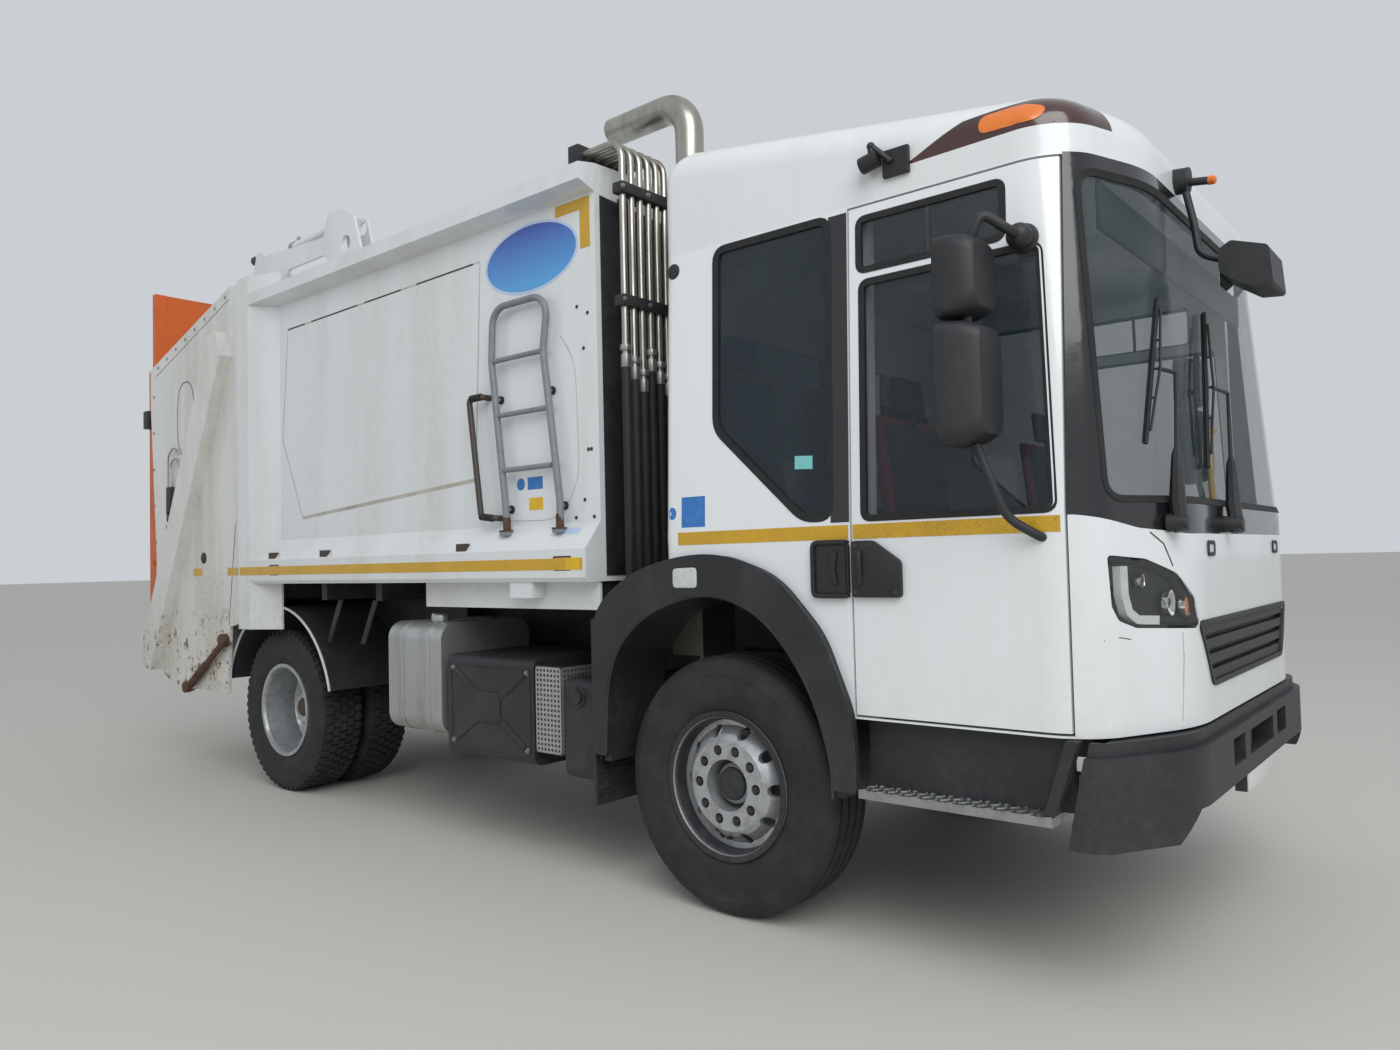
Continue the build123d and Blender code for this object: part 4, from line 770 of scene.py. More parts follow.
    def piece(self, name: str, body: str, bevel: float = 0.0, stands_for: Sequence[str] = (),
              keep: float = 35.0) -> bpy.types.Object:
        """Makes the form an object that rides on a body.

        Args:
            name: The piece's name.
            body: The body that it rides on.
            bevel: Width of its rounded edges, 0 for none.
            stands_for: The frame's nodes that it replaces.
            keep: Edges sharper than this angle stay sharp, in degrees.

        Returns:
            The object.
        """
        mesh = bpy.data.meshes.new(name)
        mesh.from_pydata([p + SHIFT for p in self.points], [], self.faces)
        for finish in self.finishes:
            mesh.materials.append(self.library.get(finish))
        mesh.polygons.foreach_set("material_index", self.looks)
        work = bmesh.new()
        work.from_mesh(mesh)
        bmesh.ops.remove_doubles(work, verts=work.verts, dist=1e-6)
        bmesh.ops.recalc_face_normals(work, faces=work.faces)
        work.to_mesh(mesh)
        work.free()
        made = bpy.data.objects.new(name, mesh)
        bpy.context.scene.collection.objects.link(made)
        if bevel:
            rounding = made.modifiers.new("edges", "BEVEL")
            rounding.width = bevel
            rounding.segments = 2
            rounding.angle_limit = math.radians(keep)
            settle(made)
        made.data.shade_smooth()
        made.data.set_sharp_from_angle(angle=math.radians(keep))
        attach(made, body)
        if stands_for:
            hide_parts(*stands_for)
        LOG.info("%s on %s: %d faces", name, body, len(made.data.polygons))
        return made


def settle(made: bpy.types.Object) -> None:
    """Turns an object with modifiers into the plain mesh that they give."""
    result = bpy.data.meshes.new_from_object(made.evaluated_get(bpy.context.evaluated_depsgraph_get()))
    result.name = made.name
    made.modifiers.clear()
    made.data = result


class Side(Enum):
    """The side of the truck from which something is laid on a surface."""

    RIGHT = (Axis.X, -2.5, (1.0, 0.0, 0.0))
    LEFT = (Axis.X, 2.5, (-1.0, 0.0, 0.0))
    FRONT = (Axis.Y, -2.85, (0.0, 1.0, 0.0))
    TOP = (Axis.Z, 5.0, (0.0, 0.0, -1.0))

    def start(self, u: float, v: float) -> Vector:
        """The point outside the truck in front of a flat point."""
        axis, away, _ = self.value
        return Vector(lift_flat(axis, u, v, away))

    @property
    def way(self) -> Vector:
        """The direction from there towards the truck."""
        return Vector(self.value[2])


# How far behind its start a ray that misses looks for the nearest point.
MISS_DEPTH = 1.3


class Surface:
    """The surface of some of the frame's nodes, for laying thin pieces on."""

    def __init__(self, nodes: Mapping[str, bpy.types.Object], *names: str) -> None:
        points: list[Vector] = []
        faces: list[tuple[int, ...]] = []
        for name in names:
            base = len(points)
            points += [v.co - SHIFT for v in nodes[name].data.vertices]
            faces += [tuple(base + i for i in p.vertices) for p in nodes[name].data.polygons]
        self.tree = BVHTree.FromPolygons(points, faces)

    def at(self, u: float, v: float, side: Side, lift: float = 0.0) -> Vector:
        """The surface's point behind a flat point.

        Args:
            u: First flat place.
            v: Second flat place.
            side: Where it is seen from.
            lift: How far it stands off the surface.

        Returns:
            The point.
        """
        start = side.start(u, v)
        found = self.tree.ray_cast(start, side.way)[0]
        if found is None:
            found = self.tree.find_nearest(start + side.way * MISS_DEPTH)[0]
        return found - side.way * lift

    def lay(self, form: Form, rows: Sequence[Sequence[Flat]], side: Side, lift: float, depth: float,
            wrap: bool = False, filled: bool = False, level: bool = False) -> None:
        """Adds a thin sheet that follows the surface.

        Args:
            form: The form that takes it.
            rows: Rows of flat points.
            side: The side from which it is laid.
            lift: How far its face stands above the surface.
            depth: How far it reaches into the surface.
            wrap: Whether each row is a loop.
            filled: Whether the first row is filled in.
            level: Whether each column lies at the height of its highest point, as a seal over an edge does.
        """
        front = [[self.at(u, v, side, lift) for u, v in row] for row in rows]
        if level:
            for column in zip(*front):
                top = min(p.dot(side.way) for p in column)
                for p in column:
                    p += side.way * (top - p.dot(side.way))
        back = [[p + side.way * (lift + depth) for p in row] for row in front]
        form.sheet(front, back, wrap, filled)

    def strip(self, form: Form, path: Sequence[Flat], width: float, side: Side, lift: float = 0.001,
              depth: float = 0.002, closed: bool = False, step: float = 0.08, level: bool = False) -> None:
        """Adds a band along a flat path on the surface.

        Args:
            form: The form that takes it.
            path: The path's corners.
            width: The band's width.
            side: The side from which it is laid.
            lift: How far its face stands above the surface.
            depth: How far it reaches into the surface.
            closed: Whether the path is a loop.
            step: Longest distance between two of its points.
            level: Whether it bridges edges, as a seal does.
        """
        line = [Vector(p) for p in path]
        if closed:
            line.append(line[0])
        spots = []
        for a, b in zip(line, line[1:]):
            parts = max(1, math.ceil((b - a).length / step))
            spots += [a + (b - a) * (k / parts) for k in range(parts)]
        if not closed:
            spots.append(line[-1])
        rows: list[list[Flat]] = [[], []]
        for i, here in enumerate(spots):
            before = spots[i - 1] if i or closed else here
            after = spots[(i + 1) % len(spots)] if i < len(spots) - 1 or closed else here
            ahead = (after - before).normalized()
            for row, sign in zip(rows, (-0.5, 0.5)):
                row.append((here.x - ahead.y * width * sign, here.y + ahead.x * width * sign))
        self.lay(form, rows, side, lift, depth, wrap=closed, level=level)

    def patch(self, form: Form, outline: Sequence[Flat], side: Side, lift: float = 0.001,
              depth: float = 0.002, rings: int = 4) -> None:
        """Adds a filled outline that follows the surface."""
        mid_u = sum(p[0] for p in outline) / len(outline)
        mid_v = sum(p[1] for p in outline) / len(outline)
        rows = []
        for k in range(rings + 1):
            share = max(k / rings, 0.02)
            rows.append([(mid_u + (u - mid_u) * share, mid_v + (v - mid_v) * share) for u, v in outline])
        self.lay(form, rows, side, lift, depth, wrap=True, filled=True)


class RepeatTree:
    """A Geometry Nodes tree with named inputs that repeats one small shape."""

    kinds = {float: "NodeSocketFloat", int: "NodeSocketInt", tuple: "NodeSocketVector",
             type(None): "NodeSocketMaterial"}

    def __init__(self, name: str, inputs: Mapping[str, Any]) -> None:
        self.tree = bpy.data.node_groups.new(name, "GeometryNodeTree")
        sockets = self.tree.interface
        sockets.new_socket("Geometry", in_out="INPUT", socket_type="NodeSocketGeometry")
        shared = {"Place": (0.0, 0.0, 0.0), "Turn": (0.0, 0.0, 0.0), "Material": None}
        for label, value in {**inputs, **shared}.items():
            socket = sockets.new_socket(label, in_out="INPUT", socket_type=self.kinds[type(value)])
            if value is not None:
                socket.default_value = value
        sockets.new_socket("Geometry", in_out="OUTPUT", socket_type="NodeSocketGeometry")
        self.given = add_node(self.tree, "NodeGroupInput").outputs

    def node(self, kind: str, **feeds: Any) -> bpy.types.Node:
        """Adds a geometry node; the names of its feeds have _ for a space."""
        named = {label.replace("_", " "): value for label, value in feeds.items()}
        return add_node(self.tree, "GeometryNode" + kind, feeds=named)

    def along_z(self, value: Any) -> bpy.types.Node:
        """Adds a vector with a value for its Z alone."""
        return add_node(self.tree, "ShaderNodeCombineXYZ", feeds={"Z": value})

    def end(self, geometry: Any) -> None:
        """Puts the repeated shapes in place and ends the tree."""
        moved = self.node("Transform", Geometry=geometry, Translation=self.given["Place"],
                          Rotation=self.given["Turn"])
        real = self.node("RealizeInstances", Geometry=moved)
        dressed = self.node("SetMaterial", Geometry=real, Material=self.given["Material"])
        add_node(self.tree, "NodeGroupOutput", feeds={0: dressed})

    def into(self, form: Form, finish: Finish, points: Sequence[Sequence[float]] = (),
             facing: Sequence[Point] = (), **values: Any) -> None:
        """Makes the repeated shapes and adds them to a form.

        Args:
            form: The form that takes them.
            finish: Their finish.
            points: Where they stand, for a tree that reads points.
            facing: Which way each of them looks.
            values: The tree's inputs, with _ for a space.
        """
        mesh = bpy.data.meshes.new("places")
        mesh.from_pydata([Vector(p) for p in points], [], [])
        if points:
            ways = mesh.attributes.new("facing", "FLOAT_VECTOR", "POINT")
            ways.data.foreach_set("vector", [v for way in facing for v in way])
        carrier = bpy.data.objects.new("places", mesh)
        bpy.context.scene.collection.objects.link(carrier)
        repeat = carrier.modifiers.new("repeat", "NODES")
        repeat.node_group = self.tree
        named = {i.name: i.identifier for i in self.tree.interface.items_tree
                 if getattr(i, "in_out", "") == "INPUT"}
        for label, value in values.items():
            repeat[named[label.replace("_", " ")]] = value
        repeat[named["Material"]] = form.library.get(finish)
        settle(carrier)
        form.paint(finish)
        form.add([v.co for v in carrier.data.vertices], [tuple(p.vertices) for p in carrier.data.polygons])
        bpy.data.objects.remove(carrier)


class Fasteners(RepeatTree):
    """Hexagon heads on washers, one on each point, looking along its facing."""

    def __init__(self) -> None:
        super().__init__("hexagon_heads", {
            "Head Radius": 0.01, "Head Height": 0.008, "Washer Radius": 0.014, "Washer Height": 0.002})
        given = self.given
        head = self.node("MeshCylinder", Vertices=6, Radius=given["Head Radius"], Depth=given["Head Height"])
        washer = self.node("MeshCylinder", Vertices=12, Radius=given["Washer Radius"],
                           Depth=given["Washer Height"])
        up = self.along_z(calc(self.tree, "MULTIPLY", given["Head Height"], 0.5))
        bolt = self.node("JoinGeometry", Geometry=self.node("Transform", Geometry=head, Translation=up))
        self.tree.links.new(washer.outputs[0], bolt.inputs[0])
        facing = add_node(self.tree, "GeometryNodeInputNamedAttribute", {"data_type": "FLOAT_VECTOR"}, {
            "Name": "facing"})
        turned = add_node(self.tree, "FunctionNodeAlignRotationToVector", {"axis": "Z"}, {"Vector": facing})
        self.end(self.node("InstanceOnPoints", Points=given["Geometry"], Instance=bolt, Rotation=turned))


class TreadBlocks(RepeatTree):
    """Blocks round a wheel, evenly spaced on its tread."""

    def __init__(self) -> None:
        super().__init__("tread_blocks", {
            "Count": 60, "Radius": 0.51, "Across": 0.0, "Block": (0.04, 0.04, 0.01), "Skew": 0.0})
        given = self.given
        circle = self.node("MeshCircle", Vertices=given["Count"], Radius=given["Radius"])
        block = self.node("MeshCube", Size=given["Block"])
        place = self.node("InputPosition")
        across = add_node(self.tree, "FunctionNodeAlignRotationToVector", {"axis": "X"},
                          {"Vector": (0.0, 0.0, 1.0)})
        outward = add_node(self.tree, "FunctionNodeAlignRotationToVector", {"axis": "Z", "pivot_axis": "X"}, {
            "Rotation": across, "Vector": place})
        blocks = self.node("InstanceOnPoints", Points=circle, Instance=block, Rotation=outward)
        self.end(self.node("Transform", Geometry=blocks, Translation=self.along_z(given["Across"]),
                           Rotation=self.along_z(given["Skew"])))


class Tiles(RepeatTree):
    """A grid of small bars, every second one turned the other way."""

    def __init__(self) -> None:
        super().__init__("tiles", {
            "Size X": 1.0, "Size Y": 1.0, "Along X": 5, "Along Y": 5, "Bar": (0.02, 0.006, 0.002),
            "Slant": 0.785})
        given = self.given
        grid = self.node("MeshGrid", Size_X=given["Size X"], Size_Y=given["Size Y"],
                         Vertices_X=given["Along X"], Vertices_Y=given["Along Y"])
        bar = self.node("MeshCube", Size=given["Bar"])
        index = self.node("InputIndex")
        sign = calc(self.tree, "MULTIPLY_ADD", calc(self.tree, "MODULO", index, 2.0), 2.0, -1.0)
        angle = calc(self.tree, "MULTIPLY", sign, given["Slant"])
        self.end(self.node("InstanceOnPoints", Points=grid, Instance=bar, Rotation=self.along_z(angle)))


@dataclass
class Workshop:
    """What every sub-assembly works with."""

    nodes: Mapping[str, bpy.types.Object]
    library: MaterialLibrary
    fasteners: Fasteners
    tread: TreadBlocks
    tiles: Tiles

    def form(self, finish: Finish) -> Form:
        """Starts a form in a finish."""
        return Form(self.library).paint(finish)

    def bolts(self, form: Form, finish: Finish, places: Sequence[Sequence[float]], way: Point, head: Flat,
              washer: Flat) -> None:
        """Adds hexagon heads that all look one way."""
        self.fasteners.into(form, finish, places, [way] * len(places), Head_Radius=head[0],
                            Head_Height=head[1], Washer_Radius=washer[0], Washer_Height=washer[1])

    def surface(self, *names: str) -> Surface:
        """The surface of some nodes."""
        return Surface(self.nodes, *names)

    def dress_nodes(self) -> None:
        """Gives each carried-over node its finish."""
        for name, node in self.nodes.items():
            base = name.removesuffix("_right").removesuffix("_left")
            finish = NODE_FINISHES[base if base in NODE_FINISHES else name]
            node.data.materials.clear()
            node.data.materials.append(self.library.get(finish))


HANDS = ((-1.0, "right", Side.RIGHT), (1.0, "left", Side.LEFT))
# How far a film stands above its surface, and how far it reaches below it.
FILM: Flat = (0.0008, 0.001)
# A groove in a panel: its film's two distances, thinner than those of a label.
GROOVE: Flat = (0.0006, 0.001)
LAMP_OUTLINE = [
    (-1.123, 1.416), (-1.05, 1.409), (-0.978, 1.402), (-0.846, 1.352), (-0.744, 1.267), (-0.713, 1.178),
    (-0.74, 1.168), (-0.834, 1.173), (-0.929, 1.179), (-1.023, 1.184), (-1.092, 1.21), (-1.114, 1.254),
    (-1.117, 1.308), (-1.12, 1.362)]
SCREEN_OUTLINE = [(-1.112, 1.592), (-1.098, 2.655), (1.098, 2.655), (1.112, 1.592)]


@dataclass
class FrontFace:
    """Lamps, seams, screen seal and wipers on the cab's front."""

    shop: Workshop
    bowl_depth: float = 0.03
    bowl_rows: tuple[tuple[float, float, float], ...] = (
        (0.02, 0.02, 1.0), (0.25, 0.02, 1.0), (0.5, 0.02, 1.0), (0.66, 0.02, 1.0), (0.78, 0.02, 1.0),
        (0.9, 0.02, 1.0), (1.0, 0.02, 0.95), (1.0, 0.014, 0.4), (1.0, 0.006, 0.05), (1.0, 0.0, 0.02))
    marker_lamps: Flat = (-0.55, 0.55)
    light_bar: tuple[Flat, ...] = ((-1.057, 1.38), (-1.055, 1.289), (-1.04, 1.235), (-1.006, 1.209),
                                   (-0.922, 1.204))
    lamps: tuple[tuple[float, float, float, Finish], ...] = (
        (-0.858, 1.256, 0.042, Finish.CLEAR_LENS), (-0.769, 1.243, 0.036, Finish.AMBER_LENS),
        (-0.976, 1.331, 0.024, Finish.DARK_AMBER))
    gap: tuple[Flat, ...] = ((-0.956, 1.486), (-0.902, 1.448), (-0.865, 1.375))
    crease: tuple[Flat, ...] = ((-0.828, 1.16), (-0.827, 1.08), (-0.846, 0.876))
    wipers: tuple[tuple[Flat, Flat, Flat, Flat], ...] = (
        ((-0.88, 1.515), (-0.825, 2.005), (-0.814, 2.261), (-0.949, 1.774)),
        ((-0.325, 1.515), (-0.226, 2.003), (-0.28, 2.3), (-0.522, 1.714)))

    def headlamp(self, sign: float, hand: str) -> None:
        """One headlamp: black bowl, light bar, round lamps and the clear skin over them."""
        skin = self.shop.surface("headlamps")
        own = LAMP_OUTLINE if sign < 0 else mirrored(LAMP_OUTLINE)
        outline = rounded(own, 0.03, 4)
        mid = (sum(p[0] for p in outline) / len(outline), sum(p[1] for p in outline) / len(outline))
        form = self.shop.form(Finish.LAMP_BOWL)
        front, back = [], []
        for share, narrowed, sunk in self.bowl_rows:
            ring = inset(outline, narrowed)
            row = [(mid[0] + (u - mid[0]) * share, mid[1] + (v - mid[1]) * share) for u, v in ring]
            front.append([skin.at(u, v, Side.FRONT, -self.bowl_depth * sunk) for u, v in row])
            back.append([skin.at(u, v, Side.FRONT, -self.bowl_depth * sunk - 0.003) for u, v in row])
        form.sheet(front, back, wrap=True, filled=True)
        bar = [(x if sign < 0 else -x, z) for x, z in self.light_bar]
        form.paint(Finish.LIGHT_BAR)
        skin.strip(form, bar, 0.028, Side.FRONT, lift=-0.004, depth=0.028, step=0.02)
        form.paint(Finish.REFLECTOR)
        for x, z, radius, _ in self.lamps:
            spot = skin.at(math.copysign(x, sign), z, Side.FRONT, -0.01)
            bowl = [(0.018, 0.001), (0.016, radius * 0.5), (0.004, radius * 0.9), (0.0, radius),
                    (0.0, radius * 1.06), (0.02, radius * 1.02), (0.022, 0.001)]
            form.lathe(bowl, spot, Side.FRONT.way, 32, ring=True)
        for x, z, radius, finish in self.lamps:
            spot = skin.at(math.copysign(x, sign), z, Side.FRONT, -0.009)
            form.paint(finish)
            form.lathe([(0.0, 0.0), (0.001, radius * 0.6), (0.004, radius * 0.97), (0.007, radius * 0.9),
                        (0.004, 0.0)], spot, Side.FRONT.way, 32)
        form.piece("headlamp_" + hand, "chassis", stands_for=("headlamps",))
        cover = self.shop.form(Finish.CLEAR_LENS)
        skin.patch(cover, outline, Side.FRONT, lift=0.0005, depth=0.002, rings=8)
        cover.piece("headlamp_cover_" + hand, "chassis")

    def panel_details(self) -> None:
        """Panel gaps, a painted shade line along the crease, small marker lamps and the rim round the grille.
        """
        skin = self.shop.surface("front_panel", "grille")
        form = self.shop.form(Finish.SEAM)
        for sign in (-1.0, 1.0):
            skin.strip(form, [(x * -sign, z) for x, z in self.gap], 0.005, Side.FRONT, *GROOVE, step=0.03)
            # Painted shade along the panel's crease.
            form.paint(Finish.GROOVE_SHADE_AND_SEALER)
            skin.strip(form, [(x * -sign, z) for x, z in self.crease], 0.004, Side.FRONT, *GROOVE, step=0.03)
            form.paint(Finish.SEAM)
        skin.strip(form, [(-1.14, 1.152), (-1.09, 1.158), (-1.047, 1.15)], 0.003, Side.FRONT, *GROOVE)
        form.piece("front_panel_gaps", "chassis")
        form = self.shop.form(Finish.BLACK_PLASTIC)
        for middle in self.marker_lamps:
            rim = oblong((middle - 0.04, middle + 0.04), (1.41, 1.45))
            skin.strip(form, rounded(rim, 0.01), 0.014, Side.FRONT, 0.006, 0.004, closed=True)
            form.paint(Finish.LIGHT_BAR)
            skin.patch(form, rounded(rim, 0.01), Side.FRONT, 0.003, 0.004)
            form.paint(Finish.BLACK_PLASTIC)
        form.piece("front_marker_lamps", "chassis", bevel=0.0015)
        form = self.shop.form(Finish.BLACK_PLASTIC)
        rim = rounded([(-0.72, 1.182), (0.72, 1.182), (0.594, 0.971), (-0.594, 0.971)], 0.03)
        skin.strip(form, rim, 0.018, Side.FRONT, 0.006, 0.022, closed=True, step=0.04, level=True)
        form.box((-0.6, 0.6), (-1.545, -1.54), (0.98, 1.17))
        form.piece("grille_rim", "chassis", bevel=0.002)

    def screen_seal(self) -> None:
        """The rubber seal round the windscreen."""
        skin = self.shop.surface("screen_surround", "windscreen", "cab_shell", "front_panel")
        form = self.shop.form(Finish.RUBBER)
        skin.strip(form, rounded(SCREEN_OUTLINE, 0.07, 6), 0.024, Side.FRONT, 0.004, 0.006, closed=True,
                   step=0.05)
        form.piece("windscreen_seal", "chassis")

    def wiper(self, index: int, base: Flat, pivot: Flat, top: Flat, bottom: Flat) -> None:
        """One wiper: spindle, broad arm, thin rod, blade and its claws."""
        skin = self.shop.surface("screen_surround", "windscreen")
        foot, bend = (skin.at(*spot, Side.FRONT, stand) for spot, stand in ((base, 0.03), (pivot, 0.05)))
        high, low = (skin.at(*spot, Side.FRONT, 0.016) for spot in (top, bottom))
        form = self.shop.form(Finish.BLACK_PLASTIC)
        form.lathe([(-0.03, 0.0), (-0.03, 0.024), (0.012, 0.03), (0.03, 0.03), (0.03, 0.0)], foot,
                   Side.FRONT.way, 20)
        knee = foot + (bend - foot) * 0.45
        form.tube([foot - Vector((0, 0.012, 0.03)), foot + (knee - foot) * 0.3, knee,
                   knee + (bend - knee) * 0.1, bend], [0.024, 0.026, 0.017, 0.008, 0.006], 8)
        centre = (high + low) / 2
        form.tube([bend, centre + Vector((0, -0.02, 0))], 0.007, 6)
        claws = [high + (low - high) * share for share in (0.08, 0.3, 0.5, 0.7, 0.92)]
        raised = [p + Vector((0, -0.012 - 0.014 * (1 - abs(k - 2) / 2), 0)) for k, p in enumerate(claws)]
        form.tube(raised, 0.005, 6)
        for claw, arm in zip(claws, raised):
            form.tube([claw + Vector((0, -0.002, 0)), arm], 0.004, 5)
        form.paint(Finish.RUBBER)
        way = (low - high).normalized()
        form.tube([high - way * 0.005, low + way * 0.005], 0.008, 4)
        form.tube([high + Vector((0, 0.008, 0)), low + Vector((0, 0.008, 0))], 0.004, 4)
        form.piece(f"wiper_{index}", "chassis")

    def build(self) -> None:
        """Builds the front face's pieces."""
        for sign, hand, _ in HANDS:
            self.headlamp(sign, hand)
        self.panel_details()
        self.screen_seal()
        for index, row in enumerate(self.wipers):
            self.wiper(index + 1, *row)


@dataclass
class CabSides:
    """Stripes, seals, handles, mirrors and labels on the cab's sides."""

    shop: Workshop
    stripe: Flat = (1.493, 1.545)
    door: Flat = (-1.41, -0.651)
    side_window: tuple[Flat, ...] = ((-0.02, 2.69), (-0.02, 1.956), (-0.44, 1.575), (-0.56, 1.575),
                                     (-0.56, 2.69))
    door_panes: tuple[tuple[Flat, ...], ...] = (
        ((-0.7, 1.565), (-0.7, 2.42), (-1.35, 2.42), (-1.38, 1.565)),
        ((-0.69, 2.465), (-0.69, 2.655), (-1.235, 2.655), (-1.235, 2.465)))

    def shell_trim(self, hand: str, side: Side) -> None:
        """Stripe, window seal and black post strip on the fixed part of one side."""
        skin = self.shop.surface("cab_shell", "cab_glass")
        middle = sum(self.stripe) / 2
        width = self.stripe[1] - self.stripe[0]
        form = self.shop.form(Finish.YELLOW_TAPE)
        skin.strip(form, [(-0.636, middle), (0.25, middle)], width, side)
        form.piece("cab_stripe_" + hand, "chassis")
        form = self.shop.form(Finish.RUBBER)
        skin.strip(form, rounded(self.side_window, 0.05), 0.03, side, 0.002, 0.014, closed=True, level=True)
        form.paint(Finish.BLACK_GLOSS)
        skin.strip(form, [(-0.602, 1.555), (-0.602, 2.695)], 0.078, side, 0.0015, 0.003)
        form.piece("cab_seals_" + hand, "chassis")
        form = self.shop.form(Finish.BLACK_PLASTIC)
        spot = skin.at(0.207, 2.649, side)
        way = side.way
        form.lathe([(-0.006, 0.0), (-0.006, 0.022), (-0.003, 0.024), (-0.003, 0.032), (0.004, 0.034),
                    (0.004, 0.0)], spot, way, 28)
        bezel = rounded([(-0.64, 1.288), (-0.5, 1.288), (-0.49, 1.3), (-0.49, 1.47), (-0.5, 1.484),
                         (-0.64, 1.484)], 0.02)
        skin.patch(form, bezel, side, 0.014, 0.006, 2)
        skin.strip(form, bezel, 0.016, side, 0.022, 0.01, closed=True)
        skin.strip(form, [(-0.585, 1.33), (-0.575, 1.39), (-0.585, 1.45)], 0.024, side, 0.023, 0.01)
        form.piece("handle_bezel_" + hand, "chassis", bevel=0.002)
        form = self.shop.form(Finish.TEAL_LABEL)
        skin.patch(form, [(-0.48, 1.76), (-0.40, 1.765), (-0.40, 1.815), (-0.48, 1.81)], side, *FILM, 1)
        form.piece("window_label_" + hand, "chassis")

    def door_trim(self, hand: str, side: Side) -> None:
        """Stripe, pane seals and a seam line on one door."""
        skin = self.shop.surface("door_" + hand, "door_glass_" + hand)
        middle = sum(self.stripe) / 2
        form = self.shop.form(Finish.YELLOW_TAPE)
        skin.strip(form, [(self.door[0] + 0.012, middle), (self.door[1] - 0.004, middle)],
                   self.stripe[1] - self.stripe[0], side, 0.0015, step=0.025)
        form.paint(Finish.RUBBER)
        for outline in self.door_panes:
            skin.strip(form, rounded(outline, 0.03), 0.024, side, 0.002, 0.014, closed=True, level=True)
        form.paint(Finish.SEAM)
        skin.strip(form, [(-0.962, 2.47), (-0.962, 2.65)], 0.014, side, 0.001, 0.004)
        form.piece("door_trim_" + hand, "door_" + hand)

    def fittings(self, x: float, hand: str) -> None:
        """The door's mirror heads, arms, stay and handle, with their glass."""
        form = self.shop.form(Finish.BLACK_PLASTIC)
        for low, high, deep in ((2.17, 2.43, 0.13), (1.77, 2.16, 0.14)):
            outline = rounded(oblong((x * 1.26, x * 1.472), (low, high)), 0.05)
            front = rounded(oblong((x * 1.285, x * 1.447), (low + 0.03, high - 0.03)), 0.05)
            rows = []
            for y, share in ((-1.12, 1.0), (-1.16, 1.0), (-1.21, 0.75), (-1.24, 0.35), (-1.12 - deep, 0.0)):
                rows.append([Vector((a[0] * share + b[0] * (1 - share), y, a[1] * share + b[1] * (1 - share)))
                             for a, b in zip(outline, front)])
            form.grid(rows, wrap=True)
        form.tube(bent([(x * 1.19, -1.31, 2.44), (x * 1.3, -1.31, 2.44), (x * 1.36, -1.24, 2.5),
                        (x * 1.375, -1.2, 2.4)], 0.035), 0.016, 12)
        form.tube(bent([(x * 1.365, -1.2, 1.775), (x * 1.29, -1.26, 1.54), (x * 1.23, -1.34, 1.48),
                        (x * 1.2, -1.345, 1.475)], 0.05), 0.015, 12)
        form.tube([(x * 1.375, -1.19, 2.18), (x * 1.375, -1.19, 2.15)], 0.016, 12)
        ball = [(0.042 * math.sin(t), max(0.042 * math.cos(t), 0.0))
                for t in (k * math.pi / 12 for k in range(-6, 7))]
        form.lathe(ball, (x * 1.232, -1.31, 2.44), (x, 0, 0), 24)
        form.lathe([(-0.002, 0.0), (-0.002, 0.05), (0.01, 0.046), (0.014, 0.02), (0.014, 0.0)],
                   (x * 1.196, -1.31, 2.44), (x, 0, 0), 24)
        plate = rounded([(-0.656, 1.284), (-0.656, 1.486), (-0.74, 1.486), (-0.85, 1.41), (-0.85, 1.284)],
                        0.016)
        form.prism(plate, Axis.X, x * 1.214, x * 1.236)
        form.tube([(x * 1.236, -0.69, 1.33), (x * 1.241, -0.69, 1.45)], 0.012, 8)
        form.lathe([(0.0, 0.0), (0.0, 0.014), (0.004, 0.012), (0.005, 0.0)], (x * 1.235, -0.69, 1.345),
                   (x, 0, 0), 16)
        places = [(x * 1.236, y, z) for y, z in ((-0.672, 1.302), (-0.672, 1.468), (-0.832, 1.302),
                                                 (-0.735, 1.468))]
        places += [(x * 1.2, -1.345, 1.5), (x * 1.2, -1.345, 1.452)]
        self.shop.bolts(form, Finish.DARK_STEEL, places, (x, 0, 0), (0.006, 0.003), (0.008, 0.002))
        form.paint(Finish.MIRROR)
        for low, high in ((2.185, 2.415), (1.785, 2.145)):
            outline = rounded(oblong((x * 1.275, x * 1.457), (low, high)), 0.04)
            form.prism(outline, Axis.Y, -1.1205, -1.1185)
        form.piece("door_mirror_" + hand, "door_" + hand, bevel=0.0015, stands_for=("door_fittings_" + hand,))

    def labels(self) -> None:
        """Blank labels where the right-hand side carries some."""
        skin = self.shop.surface("cab_shell")
        form = self.shop.form(Finish.BLUE_LABEL)
        skin.patch(form, oblong((0.035, 0.16), (1.565, 1.69)), Side.RIGHT, *FILM, 2)
        skin.patch(form, ellipse(0.212, 1.625, 0.022, 0.026, 20), Side.RIGHT, *FILM, 1)
        form.piece("cab_labels", "chassis")

    def build(self) -> None:
        """Builds the pieces of both sides."""
        for sign, hand, side in HANDS:
            self.shell_trim(hand, side)
            self.door_trim(hand, side)
            self.fittings(sign, hand)
        self.labels()


